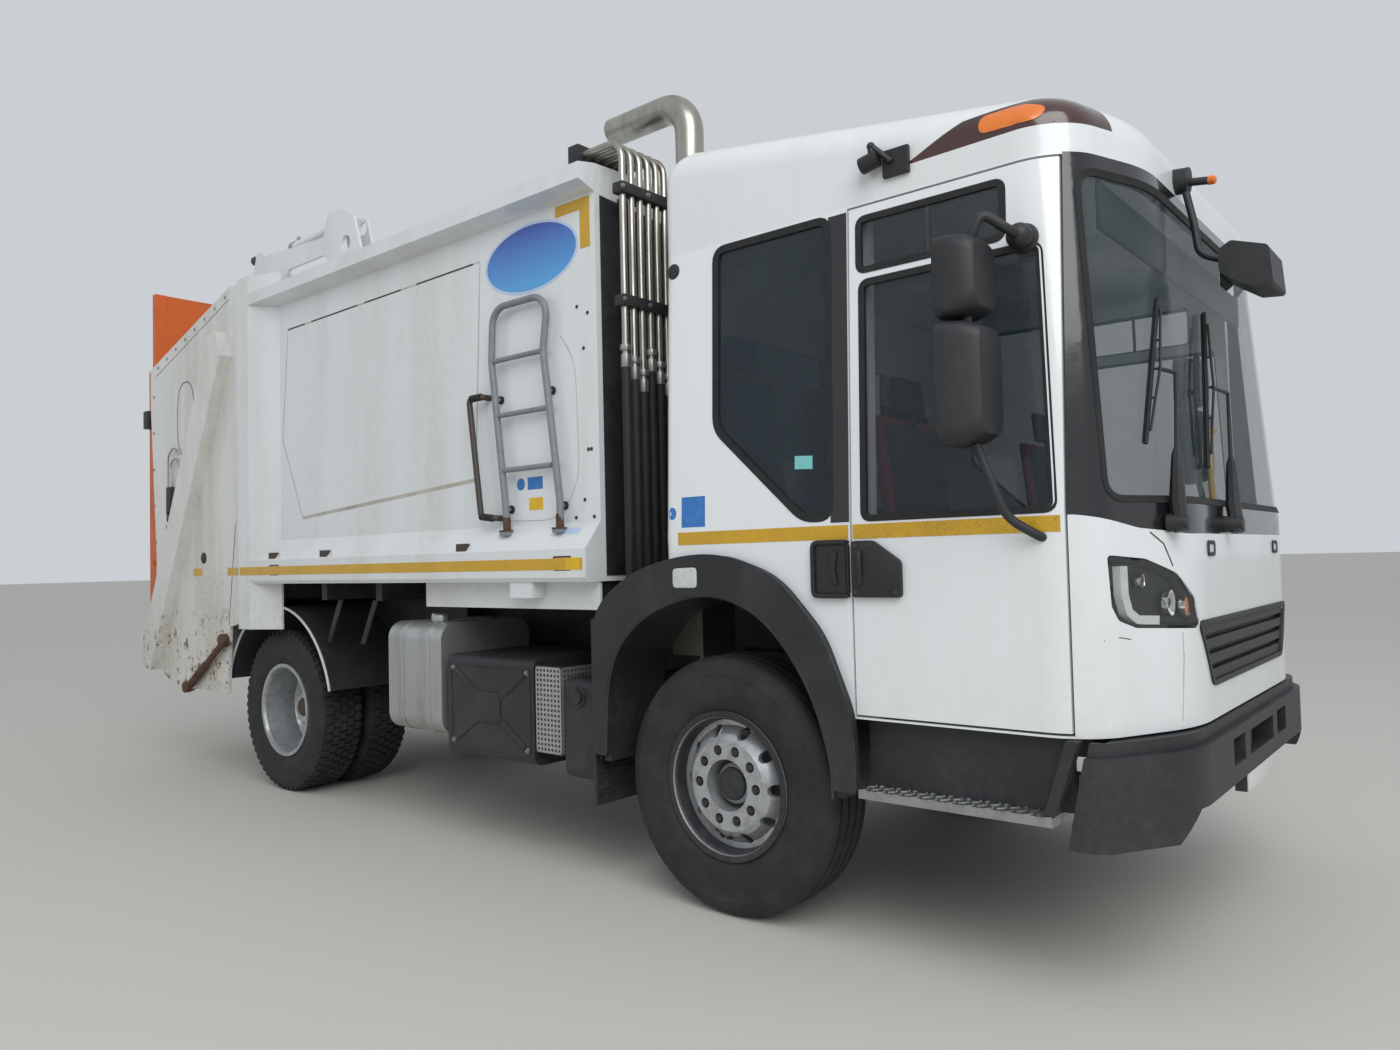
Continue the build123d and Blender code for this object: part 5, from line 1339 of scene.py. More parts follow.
@dataclass
class Wheels:
    """Tyres with their tread, wheel nuts and hub caps."""

    shop: Workshop
    side_wall: tuple[Flat, ...] = (
        (0.112, 0.287), (0.115, 0.3), (0.124, 0.312), (0.127, 0.318), (0.133, 0.332), (0.141, 0.36),
        (0.144, 0.39), (0.144, 0.425), (0.1415, 0.446), (0.1435, 0.452), (0.14, 0.462), (0.134, 0.482),
        (0.127, 0.494))
    ribbed: tuple[Flat, ...] = (
        (0.118, 0.506), (0.108, 0.512), (0.096, 0.5165), (0.084, 0.5175), (0.082, 0.504), (0.072, 0.504),
        (0.07, 0.5185), (0.033, 0.5195), (0.031, 0.505), (0.021, 0.505), (0.019, 0.52))
    plain: tuple[Flat, ...] = ((0.118, 0.501), (0.108, 0.505), (0.0, 0.507))
    block_rows: tuple[float, ...] = (-0.092, -0.046, 0.0, 0.046, 0.092)
    block_count: int = 58
    nut_count: int = 10
    # A black ring: the rim's own black lip, and painted shade over the gutter inside it.
    rim_lip_and_gutter_shade: tuple[Flat, ...] = (
        (0.122, 0.2755), (0.129, 0.276), (0.1305, 0.284), (0.1295, 0.2995), (0.126, 0.3), (0.1275, 0.284),
        (0.1255, 0.279), (0.112, 0.2695), (0.05, 0.2615), (0.05, 0.258), (0.112, 0.266))

    def tyre(self, form: Form, x: float, y: float, tread: tuple[Flat, ...]) -> None:
        """Adds a tyre's turned form at a place on the axle height."""
        half = list(self.side_wall + tread)
        profile = half + [(-offset, radius) for offset, radius in reversed(half) if offset > 0]
        form.lathe(profile, (x, y, SIZES.axle_z), (1, 0, 0), 96, ring=True)

    def front(self, sign: float, hand: str) -> None:
        """A front tyre with ribbed tread, and the wheel's nuts, cap, valve and rim lip with painted shade in
        its gutter.
        """
        x = sign * SIZES.front_tyre_x
        form = self.shop.form(Finish.TYRE_RUBBER)
        self.tyre(form, x, 0.0, self.ribbed)
        form.piece("front_tyre_" + hand, "front_wheel_" + hand, stands_for=("tyre_front_" + hand,), keep=28)
        form = self.shop.form(Finish.BLACK_PLASTIC)
        cap = [(0.0708, 0.0), (0.0708, 0.069), (0.08, 0.066), (0.09, 0.05), (0.094, 0.0)]
        form.lathe(cap, (x, 0, SIZES.axle_z), (sign, 0, 0), 32)
        form.lathe([(0.0345, 0.07), (0.0345, 0.1035), (0.0375, 0.1035), (0.0375, 0.07)], (x, 0, SIZES.axle_z),
                   (sign, 0, 0), 40, ring=True)
        # Black rim lip, with painted shade over the rim's gutter.
        form.lathe(self.rim_lip_and_gutter_shade, (x, 0, SIZES.axle_z), (sign, 0, 0), 72, ring=True)
        self.nuts(form, x + sign * 0.092, 0.0, 0.144, sign)
        form.paint(Finish.RUBBER)
        form.tube([(x + sign * 0.085, 0.0, 0.305), (x + sign * 0.118, 0.0, 0.312)], 0.006, 8)
        form.piece("front_wheel_nuts_" + hand, "front_wheel_" + hand)

    def rear(self, sign: float, hand: str) -> None:
        """A pair of rear tyres with block tread, and the wheel's nuts and cap."""
        y = SIZES.rear_axle_y
        form = self.shop.form(Finish.TYRE_RUBBER)
        for reach in (SIZES.rear_outer_x, SIZES.rear_inner_x):
            self.tyre(form, sign * reach, y, self.plain)
            place = (sign * reach, y, SIZES.axle_z)
            for index, across in enumerate(self.block_rows + (-0.12, 0.12)):
                shoulder = abs(across) > 0.1
                block = (0.014, 0.03, 0.016) if shoulder else (0.04, 0.041, 0.012)
                self.shop.tread.into(
                    form, Finish.TYRE_RUBBER, Count=self.block_count, Radius=0.5 if shoulder else 0.5125,
                    Across=across, Block=block, Skew=(index % 2) * math.pi / self.block_count, Place=place,
                    Turn=(0.0, math.pi / 2, 0.0))
        form.piece("rear_tyres_" + hand, "rear_wheel_" + hand, stands_for=("tyres_rear_" + hand,), keep=28)
        form = self.shop.form(Finish.DARK_STEEL)
        form.lathe([(0.951, 0.0), (0.951, 0.055), (0.962, 0.05), (0.966, 0.0)], (0, y, SIZES.axle_z),
                   (sign, 0, 0), 28)
        self.nuts(form, sign * 0.801, y, 0.157, sign)
        form.piece("rear_wheel_nuts_" + hand, "rear_wheel_" + hand)

    def nuts(self, form: Form, x: float, y: float, ring: float, sign: float) -> None:
        """Adds the ring of wheel nuts."""
        turns = [2 * math.pi * k / self.nut_count for k in range(self.nut_count)]
        places = [(x, y + ring * math.cos(t), SIZES.axle_z + ring * math.sin(t)) for t in turns]
        self.shop.bolts(form, Finish.CHASSIS_PAINT, places, (sign, 0, 0), (0.0145, 0.02), (0.019, 0.004))

    def build(self) -> None:
        """Builds the pieces of all wheels."""
        for sign, hand, _ in HANDS:
            self.front(sign, hand)
            self.rear(sign, hand)


@dataclass
class CabInside:
    """Seats with their cushions, and what shows of the cab's inside."""

    shop: Workshop
    seats: tuple[tuple[float, float, float, float], ...] = (
        (-0.72, -0.86, 0.88, 1.33), (0.72, -0.86, 0.88, 1.33), (-0.76, -0.06, 1.35, 1.62),
        (0.0, -0.06, 1.35, 1.62), (0.76, -0.06, 1.35, 1.62))
    pads: tuple[tuple[str, Point, Point, float], ...] = (
        ("seat_pad", (0.48, 0.45, 0.1), (0.0, -0.045, -0.03), 0.0),
        ("back_pad", (0.44, 0.07, 0.6), (0.0, 0.185, 0.335), 0.11),
        ("head_pad", (0.24, 0.06, 0.17), (0.0, 0.23, 0.73), 0.1))
    voxel: float = 0.013
    pressure: float = 4.0
    frames: int = 20
    cap: float = 0.02

    def pad_mesh(self, size: Point) -> bpy.types.Mesh:
        """A stuffed pad about the origin: remeshed, blown up as cloth, capped and smoothed.

        Args:
            size: Its width, depth and height.

        Returns:
            Its mesh.
        """
        form = self.shop.form(Finish.SEAT_FABRIC)
        x, y, z = (side / 2 - 0.008 for side in size)
        form.prism(rounded(oblong((-x, x), (-y, y)), 0.03), Axis.Z, -z, z)
        mesh = bpy.data.meshes.new("pad")
        mesh.from_pydata(form.points, [], form.faces)
        mesh.materials.append(self.shop.library.get(Finish.SEAT_FABRIC))
        pad = bpy.data.objects.new("pad", mesh)
        bpy.context.scene.collection.objects.link(pad)
        grain = pad.modifiers.new("grain", "REMESH")
        grain.mode = "VOXEL"
        grain.voxel_size = self.voxel
        settle(pad)
        rest = [v.co.copy() for v in pad.data.vertices]
        cloth = pad.modifiers.new("cloth", "CLOTH")
        cloth.settings.use_pressure = True
        cloth.settings.uniform_pressure_force = self.pressure
        cloth.settings.effector_weights.gravity = 0.0
        for frame in range(1, self.frames + 1):
            bpy.context.scene.frame_set(frame)
        settle(pad)
        bpy.context.scene.frame_set(1)
        for vertex, old in zip(pad.data.vertices, rest):
            move = vertex.co - old
            vertex.co = old + move * min(1.0, self.cap / max(move.length, 1e-6))
        fine = pad.modifiers.new("fine", "SUBSURF")
        fine.levels = fine.render_levels = 1
        settle(pad)
        result = pad.data
        bpy.data.objects.remove(pad)
        return result

    def build(self) -> None:
        """Builds the seats, the grab handles and the visor."""
        frame = self.shop.form(Finish.BLACK_PLASTIC)
        for x, y, floor, top in self.seats:
            frame.box((x - 0.19, x + 0.19), (y - 0.19, y + 0.15), (floor, top - 0.095))
            frame.tube([(x, y + 0.2, top + 0.58), (x, y + 0.22, top + 0.68)], 0.012, 8)
        frame.paint(Finish.RED_TRIM)
        for x, y, _, top in self.seats:
            back = [(y + 0.165, top + 0.02), (y + 0.2, top + 0.02), (y + 0.265, top + 0.64),
                    (y + 0.23, top + 0.64)]
            frame.prism(back, Axis.X, x - 0.24, x + 0.24)
            for sign in (-1, 1):
                frame.prism([(y - 0.27, top - 0.085), (y + 0.19, top - 0.085), (y + 0.19, top),
                             (y - 0.2, top - 0.02)], Axis.X, x + sign * 0.238, x + sign * 0.25)
        frame.piece("seat_frames", "chassis", bevel=0.006, stands_for=("seats",))
        for name, size, offset, lean in self.pads:
            mesh = self.pad_mesh(size)
            for index, (x, y, _, top) in enumerate(self.seats):
                own = mesh.copy()
                place = Vector((x, y, top)) + Vector(offset) + SHIFT
                own.transform(Matrix.Translation(place) @ Matrix.Rotation(-lean, 4, "X"))
                pad = bpy.data.objects.new(f"{name}_{index + 1}", own)
                bpy.context.scene.collection.objects.link(pad)
                own.shade_smooth()
                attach(pad, "chassis")
            LOG.info("%s for %d seats: %d faces", name, len(self.seats), len(mesh.polygons))
        form = self.shop.form(Finish.YELLOW_PAINT)
        for sign in (-1, 1):
            form.tube(bent([(sign * 1.07, -1.36, 1.62), (sign * 1.05, -1.33, 1.66),
                            (sign * 1.04, -1.33, 1.98), (sign * 1.05, -1.36, 2.02)], 0.04), 0.014, 10)
        form.paint(Finish.BLACK_PLASTIC)
        form.box((-1.0, 1.0), (-1.49, -1.475), (2.48, 2.64))
        form.box((-0.94, -0.5), (-1.4, -1.25), (1.44, 1.52))
        form.box((-0.3, 0.1), (-1.42, -1.38), (1.46, 1.62))
        form.piece("cab_fittings", "chassis", bevel=0.008)


@dataclass
class Undercarriage:
    """Arches, steps, mudguards, tanks and what hangs on the rails."""

    shop: Workshop
    arch_in: tuple[Flat, ...] = (
        (-0.557, 0.56), (-0.557, 0.7), (-0.47, 0.96), (-0.29, 1.19), (-0.09, 1.285), (0.12, 1.29),
        (0.42, 1.175), (0.58, 0.96), (0.598, 0.6))
    arch_out: tuple[Flat, ...] = (
        (-0.652, 0.6), (-0.65, 0.858), (-0.53, 1.15), (-0.33, 1.365), (-0.09, 1.445), (0.13, 1.45),
        (0.42, 1.385), (0.64, 1.24), (0.668, 1.1))
    guard_r: float = 0.68
    straps: Flat = (1.985, 2.225)

    def arches(self) -> None:
        """Rolled lips, side lamps, chequer plate on the steps and ribs on the flaps."""
        for sign, hand, side in HANDS:
            form = self.shop.form(Finish.BLACK_PLASTIC)
            for line, across in ((self.arch_in, 1.244), (self.arch_out, 1.243)):
                form.tube(bent([(sign * across, y, z) for y, z in line], 0.2), 0.0065, 8)
            self.shop.tiles.into(form, Finish.BLACK_PLASTIC, Size_X=0.32, Size_Y=0.72, Along_X=12, Along_Y=31,
                                 Bar=(0.022, 0.008, 0.005), Slant=0.5, Place=(sign * 1.05, 0.669, 0.77),
                                 Turn=(math.pi / 2, 0.0, 0.0))
            form.piece("arch_lips_" + hand, "chassis", keep=40)
            form = self.shop.form(Finish.LIGHT_BAR)
            skin = self.shop.surface("front_arches")
            lamp = rounded([(0.055, 1.318), (0.185, 1.318), (0.185, 1.398), (0.055, 1.402)], 0.02)
            skin.patch(form, lamp, side, 0.002, 0.02, 3)
            form.piece("arch_lamp_" + hand, "chassis", bevel=0.004)
            form = self.shop.form(Finish.CHEQUER)
            self.shop.tiles.into(form, Finish.CHEQUER, Size_X=0.25, Size_Y=0.66, Along_X=9, Along_Y=21,
                                 Bar=(0.026, 0.006, 0.004), Place=(sign * 1.115, -1.007, 0.606))
            form.piece("step_chequer_" + hand, "chassis")

    def mudguards(self) -> None:
        """The white edge line and stays of the rear mudguards, and black inner sheets that paint the shade
        under the body.
        """
        y, z = SIZES.rear_axle_y, SIZES.axle_z
        low = math.asin((0.69 - z) / self.guard_r)
        turns = [low + (math.pi - 2 * low) * k / 40 for k in range(41)]
        form = self.shop.form(Finish.LIGHT_BAR)
        for sign in (-1, 1):
            form.tube([(sign * 1.131, y + 0.675 * math.cos(t), z + 0.675 * math.sin(t)) for t in turns],
                      0.0085, 8)
        # Black sheets inside the guards, between tank and wheel: painted shade of the underbody.
        form.paint(Finish.BLACK_PLASTIC)
        for sign in (-1, 1):
            form.prism([(2.42, 0.69), (3.06, 0.69), (3.12, 0.9), (3.28, 1.03), (3.4, 1.1), (3.4, 1.235),
                        (2.42, 1.235)], Axis.X, sign * 0.6, sign * 0.606)
        form.paint(Finish.CHASSIS_PAINT)
        for sign in (-1, 1):
            for at in (2.62, 3.0):
                form.prism([(at, 1.24), (at + 0.05, 1.24), (at + 0.19, 0.98), (at + 0.14, 0.98)], Axis.X,
                           sign * 1.08, sign * 1.088)
        form.piece("mudguard_trim", "chassis", bevel=0.001)

    def tanks(self) -> None:
        """Straps, caps, pressed cover, perforations and bolts."""
        form = self.shop.form(Finish.TANK_ALUMINIUM)
        low, high, reach = 0.545, 1.13, 0.09
        turn = math.pi / 16
        outline = [(-0.6, low)]
        for middle, start in ((low + reach, -math.pi / 2), (high - reach, -math.pi)):
            outline += [(reach - 1.195 + reach * math.cos(start - k * turn),
                         middle + reach * math.sin(start - k * turn))
                        for k in range(9)]
        outline.append((-0.6, high))
        for at in self.straps:
            band = []
            for grow, y in ((-0.002, -0.022), (0.004, -0.022), (0.004, 0.022), (-0.002, 0.022)):
                band.append([Vector((x, at + y, z)) for x, z in inset(outline, -grow)])
            form.grid(band, wrap=True, loop=True)
        form.lathe([(-0.03, 0.0), (-0.03, 0.05), (0.0, 0.05), (0.006, 0.044), (0.006, 0.0)],
                   (-1.08, 2.02, 1.165), (0, 0, 1), 24)
        form.box((-1.13, -1.03), (2.008, 2.032), (1.165, 1.176))
        form.piece("fuel_tank_straps", "chassis", bevel=0.002)
        for node, side, x in (("side_box", Side.RIGHT, -1.195), ("battery_box", Side.LEFT, 1.18)):
            skin = self.shop.surface(node)
            form = self.shop.form(Finish.BLACK_PLASTIC)
            for path in (((1.2, 0.55), (1.4, 0.68)), ((1.735, 0.55), (1.535, 0.68)),
                         ((1.2, 0.9), (1.4, 0.77)), ((1.735, 0.9), (1.535, 0.77))):
                skin.strip(form, path, 0.03, side, 0.005, 0.003)
            square = rounded(oblong((1.38, 1.555), (0.65, 0.8)), 0.02)
            skin.patch(form, square, side, 0.008, 0.003, 2)
            skin.strip(form, rounded(oblong((1.16, 1.775), (0.52, 0.93)), 0.03), 0.012, side,
                       0.004, 0.003, closed=True)
            places = [(x, y, z) for y in (1.18, 1.755) for z in (0.54, 0.91)]
            self.shop.bolts(form, Finish.ZINC, places, (math.copysign(1, x), 0, 0), (0.009, 0.012),
                            (0.014, 0.006))
            form.piece(node + "_cover", "chassis", bevel=0.002)
        form = self.shop.form(Finish.TANK_ALUMINIUM)
        sheet = rounded(oblong((0.944, 1.119), (0.545, 0.945)), 0.015)
        form.prism(sheet, Axis.X, -1.1902, -1.1918)
        form.prism(rounded(oblong((-1.188, -0.83), (0.545, 0.945)), 0.015), Axis.Y, 0.9405, 0.9418)
        self.shop.tiles.into(form, Finish.SEAM, Size_X=0.368, Size_Y=0.144, Along_X=17, Along_Y=7,
                             Bar=(0.0125, 0.0125, 0.001), Slant=0.0, Place=(-1.1919, 1.032, 0.745),
                             Turn=(0.0, math.pi / 2, 0.0))
        self.shop.tiles.into(form, Finish.SEAM, Size_X=0.32, Size_Y=0.368, Along_X=15, Along_Y=17,
                             Bar=(0.0125, 0.0125, 0.001), Slant=0.0, Place=(-1.009, 0.9404, 0.745),
                             Turn=(math.pi / 2, 0.0, 0.0))
        form.paint(Finish.BLACK_PLASTIC)
        for radius, reach in ((0.052, 0.008), (0.036, 0.02)):
            form.lathe([(0.0, 0.0), (0.0, radius), (reach, radius * 0.94), (reach, 0.0)], (-1.18, 0.84, 0.82),
                       (-1, 0, 0), 28)
        form.paint(Finish.BLUE_BADGE)
        form.lathe([(0.0, 0.0), (0.0, 0.035), (0.024, 0.035), (0.03, 0.03), (0.03, 0.0)], (-1.05, 0.8, 0.9),
                   (0, 0, 1), 20)
        form.piece("shield_holes", "chassis")

    def rails(self) -> None:
        """Rail bolts, the drive shaft and two hose runs along the frame."""
        form = self.shop.form(Finish.CHASSIS_PAINT)
        form.tube([(0, 0.955, 0.7), (0, 2.1, 0.655), (0, 3.41, 0.56)], 0.045, 20)
        for y, z in ((0.98, 0.7), (3.36, 0.563)):
            form.box((-0.07, 0.07), (y - 0.03, y + 0.03), (z - 0.035, z + 0.035))
        form.paint(Finish.RUBBER)
        for x in (-0.34, 0.3):
            form.tube(bent([(x, 0.7, 0.86), (x, 1.6, 0.84), (x, 2.6, 0.86), (x, 3.9, 0.85)], 0.2), 0.014, 8)
        places = [(s * 0.4305, 0.72 + 0.31 * k, z) for s in (-1, 1) for k in range(12) for z in (0.79, 0.93)]
        self.shop.fasteners.into(form, Finish.ZINC, places, [(math.copysign(1, p[0]), 0, 0) for p in places],
                                 Head_Radius=0.011, Head_Height=0.01, Washer_Radius=0.016,
                                 Washer_Height=0.004)
        form.piece("rail_fittings", "chassis")

    def build(self) -> None:
        """Builds the undercarriage's pieces."""
        self.arches()
        self.mudguards()
        self.tanks()
        self.rails()


@dataclass
class PipesAndStack:
    """Clamps, hoses and fittings on the pipes behind the cab, and the exhaust's bands."""

    shop: Workshop
    first_x: float = -1.12
    pitch: float = 0.056
    count: int = 6
    y: float = 0.55

    def build(self) -> None:
        """Builds the pieces behind the cab."""
        form = self.shop.form(Finish.BLACK_PLASTIC)
        form.box((-1.156, -0.804), (0.796, 0.864), (3.276, 3.379))
        for z in (2.6, 3.11):
            form.box((-1.154, -0.806), (0.52, 0.58), (z - 0.024, z + 0.024))
            form.box((-1.004, -0.956), (0.57, 0.7), (z - 0.022, z + 0.022))
        form.paint(Finish.RUBBER)
        form.prism([(-1.12, 1.37), (-0.55, 1.37), (-0.55, 3.08), (-1.12, 3.12)], Axis.Y, 0.696, 0.7)
        for k in range(self.count):
            x = self.first_x + self.pitch * k
            low = 2.3 - 0.05 * (k % 3)
            form.tube([(x, self.y, 1.13), (x, self.y, low)], 0.021, 12)
        form.paint(Finish.ZINC)
        for k in range(self.count):
            x = self.first_x + self.pitch * k
            low = 2.3 - 0.05 * (k % 3)
            for z, height, radius in ((low, 0.06, 0.024), (low + 0.075, 0.028, 0.027)):
                form.prism([(x + radius * math.cos(turn), self.y + radius * math.sin(turn))
                            for turn in (corner * math.pi / 3 for corner in range(6))], Axis.Z, z, z + height)
        places = [(x, 0.52, z) for z in (2.6, 3.11) for x in (-1.148, -0.982, -0.812)]
        self.shop.bolts(form, Finish.ZINC, places, (0, -1, 0), (0.008, 0.01), (0.012, 0.003))
        form.piece("pipe_clamps", "chassis", bevel=0.0015)
        form = self.shop.form(Finish.STAINLESS)
        for z in (1.64, 2.42, 3.2):
            form.lathe([(-0.02, 0.0672), (-0.02, 0.072), (0.02, 0.072), (0.02, 0.0672)], (-0.76, 0.45, z),
                       (0, 0, 1), 32, ring=True)
        form.box((-0.84, -0.68), (0.37, 0.382), (1.66, 1.7))
        form.piece("stack_bands", "chassis", bevel=0.001)


@dataclass
class LoadBody:
    """Stripes, lamps, panel lines and badges on the load body."""

    shop: Workshop
    recess: tuple[Flat, ...] = ((3.513, 2.962), (1.543, 2.982), (1.604, 1.867), (3.347, 1.751),
                                (3.589, 2.263))
    seam_z: float = 2.9626
    seam_slope: float = 0.01
    hatch: tuple[Flat, ...] = ((1.386, 1.646), (0.973, 1.634), (0.831, 1.813), (0.849, 2.374), (0.949, 2.507))

    def side(self, sign: float, hand: str, side: Side) -> None:
        """The pieces of one side wall."""
        skin = self.shop.surface("body_shell")
        form = self.shop.form(Finish.YELLOW_TAPE)
        skin.strip(form, [(0.72, SIZES.stripe_z), (3.985, SIZES.stripe_z)], SIZES.stripe_width, side,
                   step=0.3)
        skin.strip(form, [(0.967, 3.095), (0.734, 3.095)], SIZES.stripe_width, side)
        skin.strip(form, [(0.767, 3.068), (0.767, 2.885)], 0.066, side)
        form.piece("body_stripe_" + hand, "chassis")
        form = self.shop.form(Finish.SEAM)
        for ends in ((3.51, 3.3), (3.22, 2.7), (2.62, 2.25), (2.1, 1.6)):
            seam = [(y, self.seam_z + (self.recess[0][0] - y) * self.seam_slope) for y in ends]
            skin.strip(form, seam, 0.009, side, *FILM)
        # Painted shade along the recess's pressed edges, wider along its lower edge, and round the hatch.
        form.paint(Finish.GROOVE_SHADE_AND_SEALER)
        skin.strip(form, self.recess, 0.008, side, 0.0005, 0.001, closed=True)
        skin.strip(form, self.recess[2:4], 0.02, side, 0.0007, 0.001)
        hatch = [(p.x, p.y) for p in bent([(y, z, 0.0) for y, z in self.hatch], 0.12)]
        skin.strip(form, hatch, 0.004, side, *FILM)
        form.piece("body_gaps_" + hand, "chassis")
        form = self.shop.form(Finish.PALE_BADGE)
        skin.patch(form, ellipse(1.155, 2.92, 0.345, 0.172), side, *FILM, 3)
        form.paint(Finish.BLUE_BADGE)
        skin.patch(form, ellipse(1.155, 2.92, 0.328, 0.158), side, 0.0014, 0.001, 3)
        form.piece("body_badge_" + hand, "chassis")
        form = self.shop.form(Finish.BLACK_PLASTIC)
        for y in (0.854, 3.524):
            skin.patch(form, rounded(oblong((y - 0.062, y + 0.062), (1.396, 1.464)), 0.01), side, 0.0002,
                       0.004, 2)
        form.paint(Finish.AMBER_LENS)
        for y in (0.854, 3.524):
            skin.patch(form, rounded(oblong((y - 0.05, y + 0.05), (1.404, 1.456)), 0.01),
                       side, 0.0008, 0.004, 2)
        form.piece("body_marker_lamps_" + hand, "chassis", bevel=0.001)
        form = self.shop.form(Finish.DARK_STEEL)
        places = ((0.83, 2.62), (0.76, 2.58), (0.79, 2.42), (0.75, 1.95), (0.77, 1.95), (0.8, 1.72),
                  (0.74, 1.64), (0.86, 1.64))
        spots = [skin.at(y, z, side, 0.001) for y, z in places]
        self.shop.bolts(form, Finish.DARK_STEEL, spots, (sign, 0, 0), (0.006, 0.003), (0.009, 0.002))
        form.piece("body_bolts_" + hand, "chassis")

    def top(self) -> None:
        """Sealed seams across and along the roof sheet."""
        skin = self.shop.surface("body_shell")
        form = self.shop.form(Finish.GROOVE_SHADE_AND_SEALER)
        for y in (0.78, 1.6, 2.42, 3.24):
            skin.strip(form, [(-1.13, y), (1.13, y)], 0.022, Side.TOP, 0.002, 0.002)
        for x in (-1.12, 1.12):
            skin.strip(form, [(x, 0.8), (x, 2.7)], 0.016, Side.TOP, 0.002, 0.002, step=0.3)
        form.piece("body_roof_seams", "chassis")
        skin = self.shop.surface("tailgate_shell")
        form = self.shop.form(Finish.GROOVE_SHADE_AND_SEALER)
        for y in (4.6, 5.1):
            skin.strip(form, [(-1.14, y), (1.14, y)], 0.018, Side.TOP, 0.002, 0.002)
        form.piece("tailgate_roof_seams", "tailgate")

    def labels(self) -> None:
        """The blank labels between the ladder's feet."""
        skin = self.shop.surface("body_shell")
        form = self.shop.form(Finish.BLUE_LABEL)
        skin.patch(form, oblong((1.09, 1.2), (1.79, 1.85)), Side.RIGHT, *FILM, 1)
        skin.patch(form, ellipse(1.25, 1.82, 0.03, 0.03, 20), Side.RIGHT, *FILM, 1)
        form.paint(Finish.YELLOW_PAINT)
        skin.patch(form, oblong((1.09, 1.19), (1.69, 1.75)), Side.RIGHT, *FILM, 1)
        skin.patch(form, oblong((0.74, 0.83), (1.4, 1.455)), Side.RIGHT, 0.0012, 0.001, 1)
        form.paint(Finish.PALE_BADGE)
        skin.patch(form, [(0.8, 1.56), (0.93, 1.57), (0.93, 1.6), (0.8, 1.59)], Side.RIGHT, *FILM, 1)
        form.piece("body_labels", "chassis")

    def ladder(self) -> None:
        """Rubber sleeves and rusted feet on the ladder, and the black ends of the grab handle."""
        form = self.shop.form(Finish.RUBBER)
        for y, z in ((1.318, 1.7), (0.929, 1.7), (1.385, 2.25), (1.003, 2.25)):
            form.lathe([(0.0, 0.0), (0.0, 0.02), (0.012, 0.02), (0.014, 0.014), (0.014, 0.0)],
                       (-1.1505, y, z), (-1, 0, 0), 16)
        for y0, z0, y1, z1 in ((1.478, 2.272, 1.56, 2.272), (1.494, 1.672, 1.4, 1.66)):
            form.tube([(-1.205, y0, z0), (-1.205, y1, z1)], 0.0185, 10)
        form.paint(Finish.RUSTY_STEEL)
        for y in (1.313, 0.929):
            form.box((-1.214, -1.178), (y - 0.033, y + 0.033), (1.59, 1.598))
            form.tube([(-1.19, y, 1.598), (-1.19, y + 0.001, 1.66)], 0.019, 12)
        form.piece("ladder_feet", "chassis", bevel=0.001)

    def build(self) -> None:
        """Builds the load body's pieces."""
        for sign, hand, side in HANDS:
            self.side(sign, hand, side)
        self.top()
        self.labels()
        self.ladder()


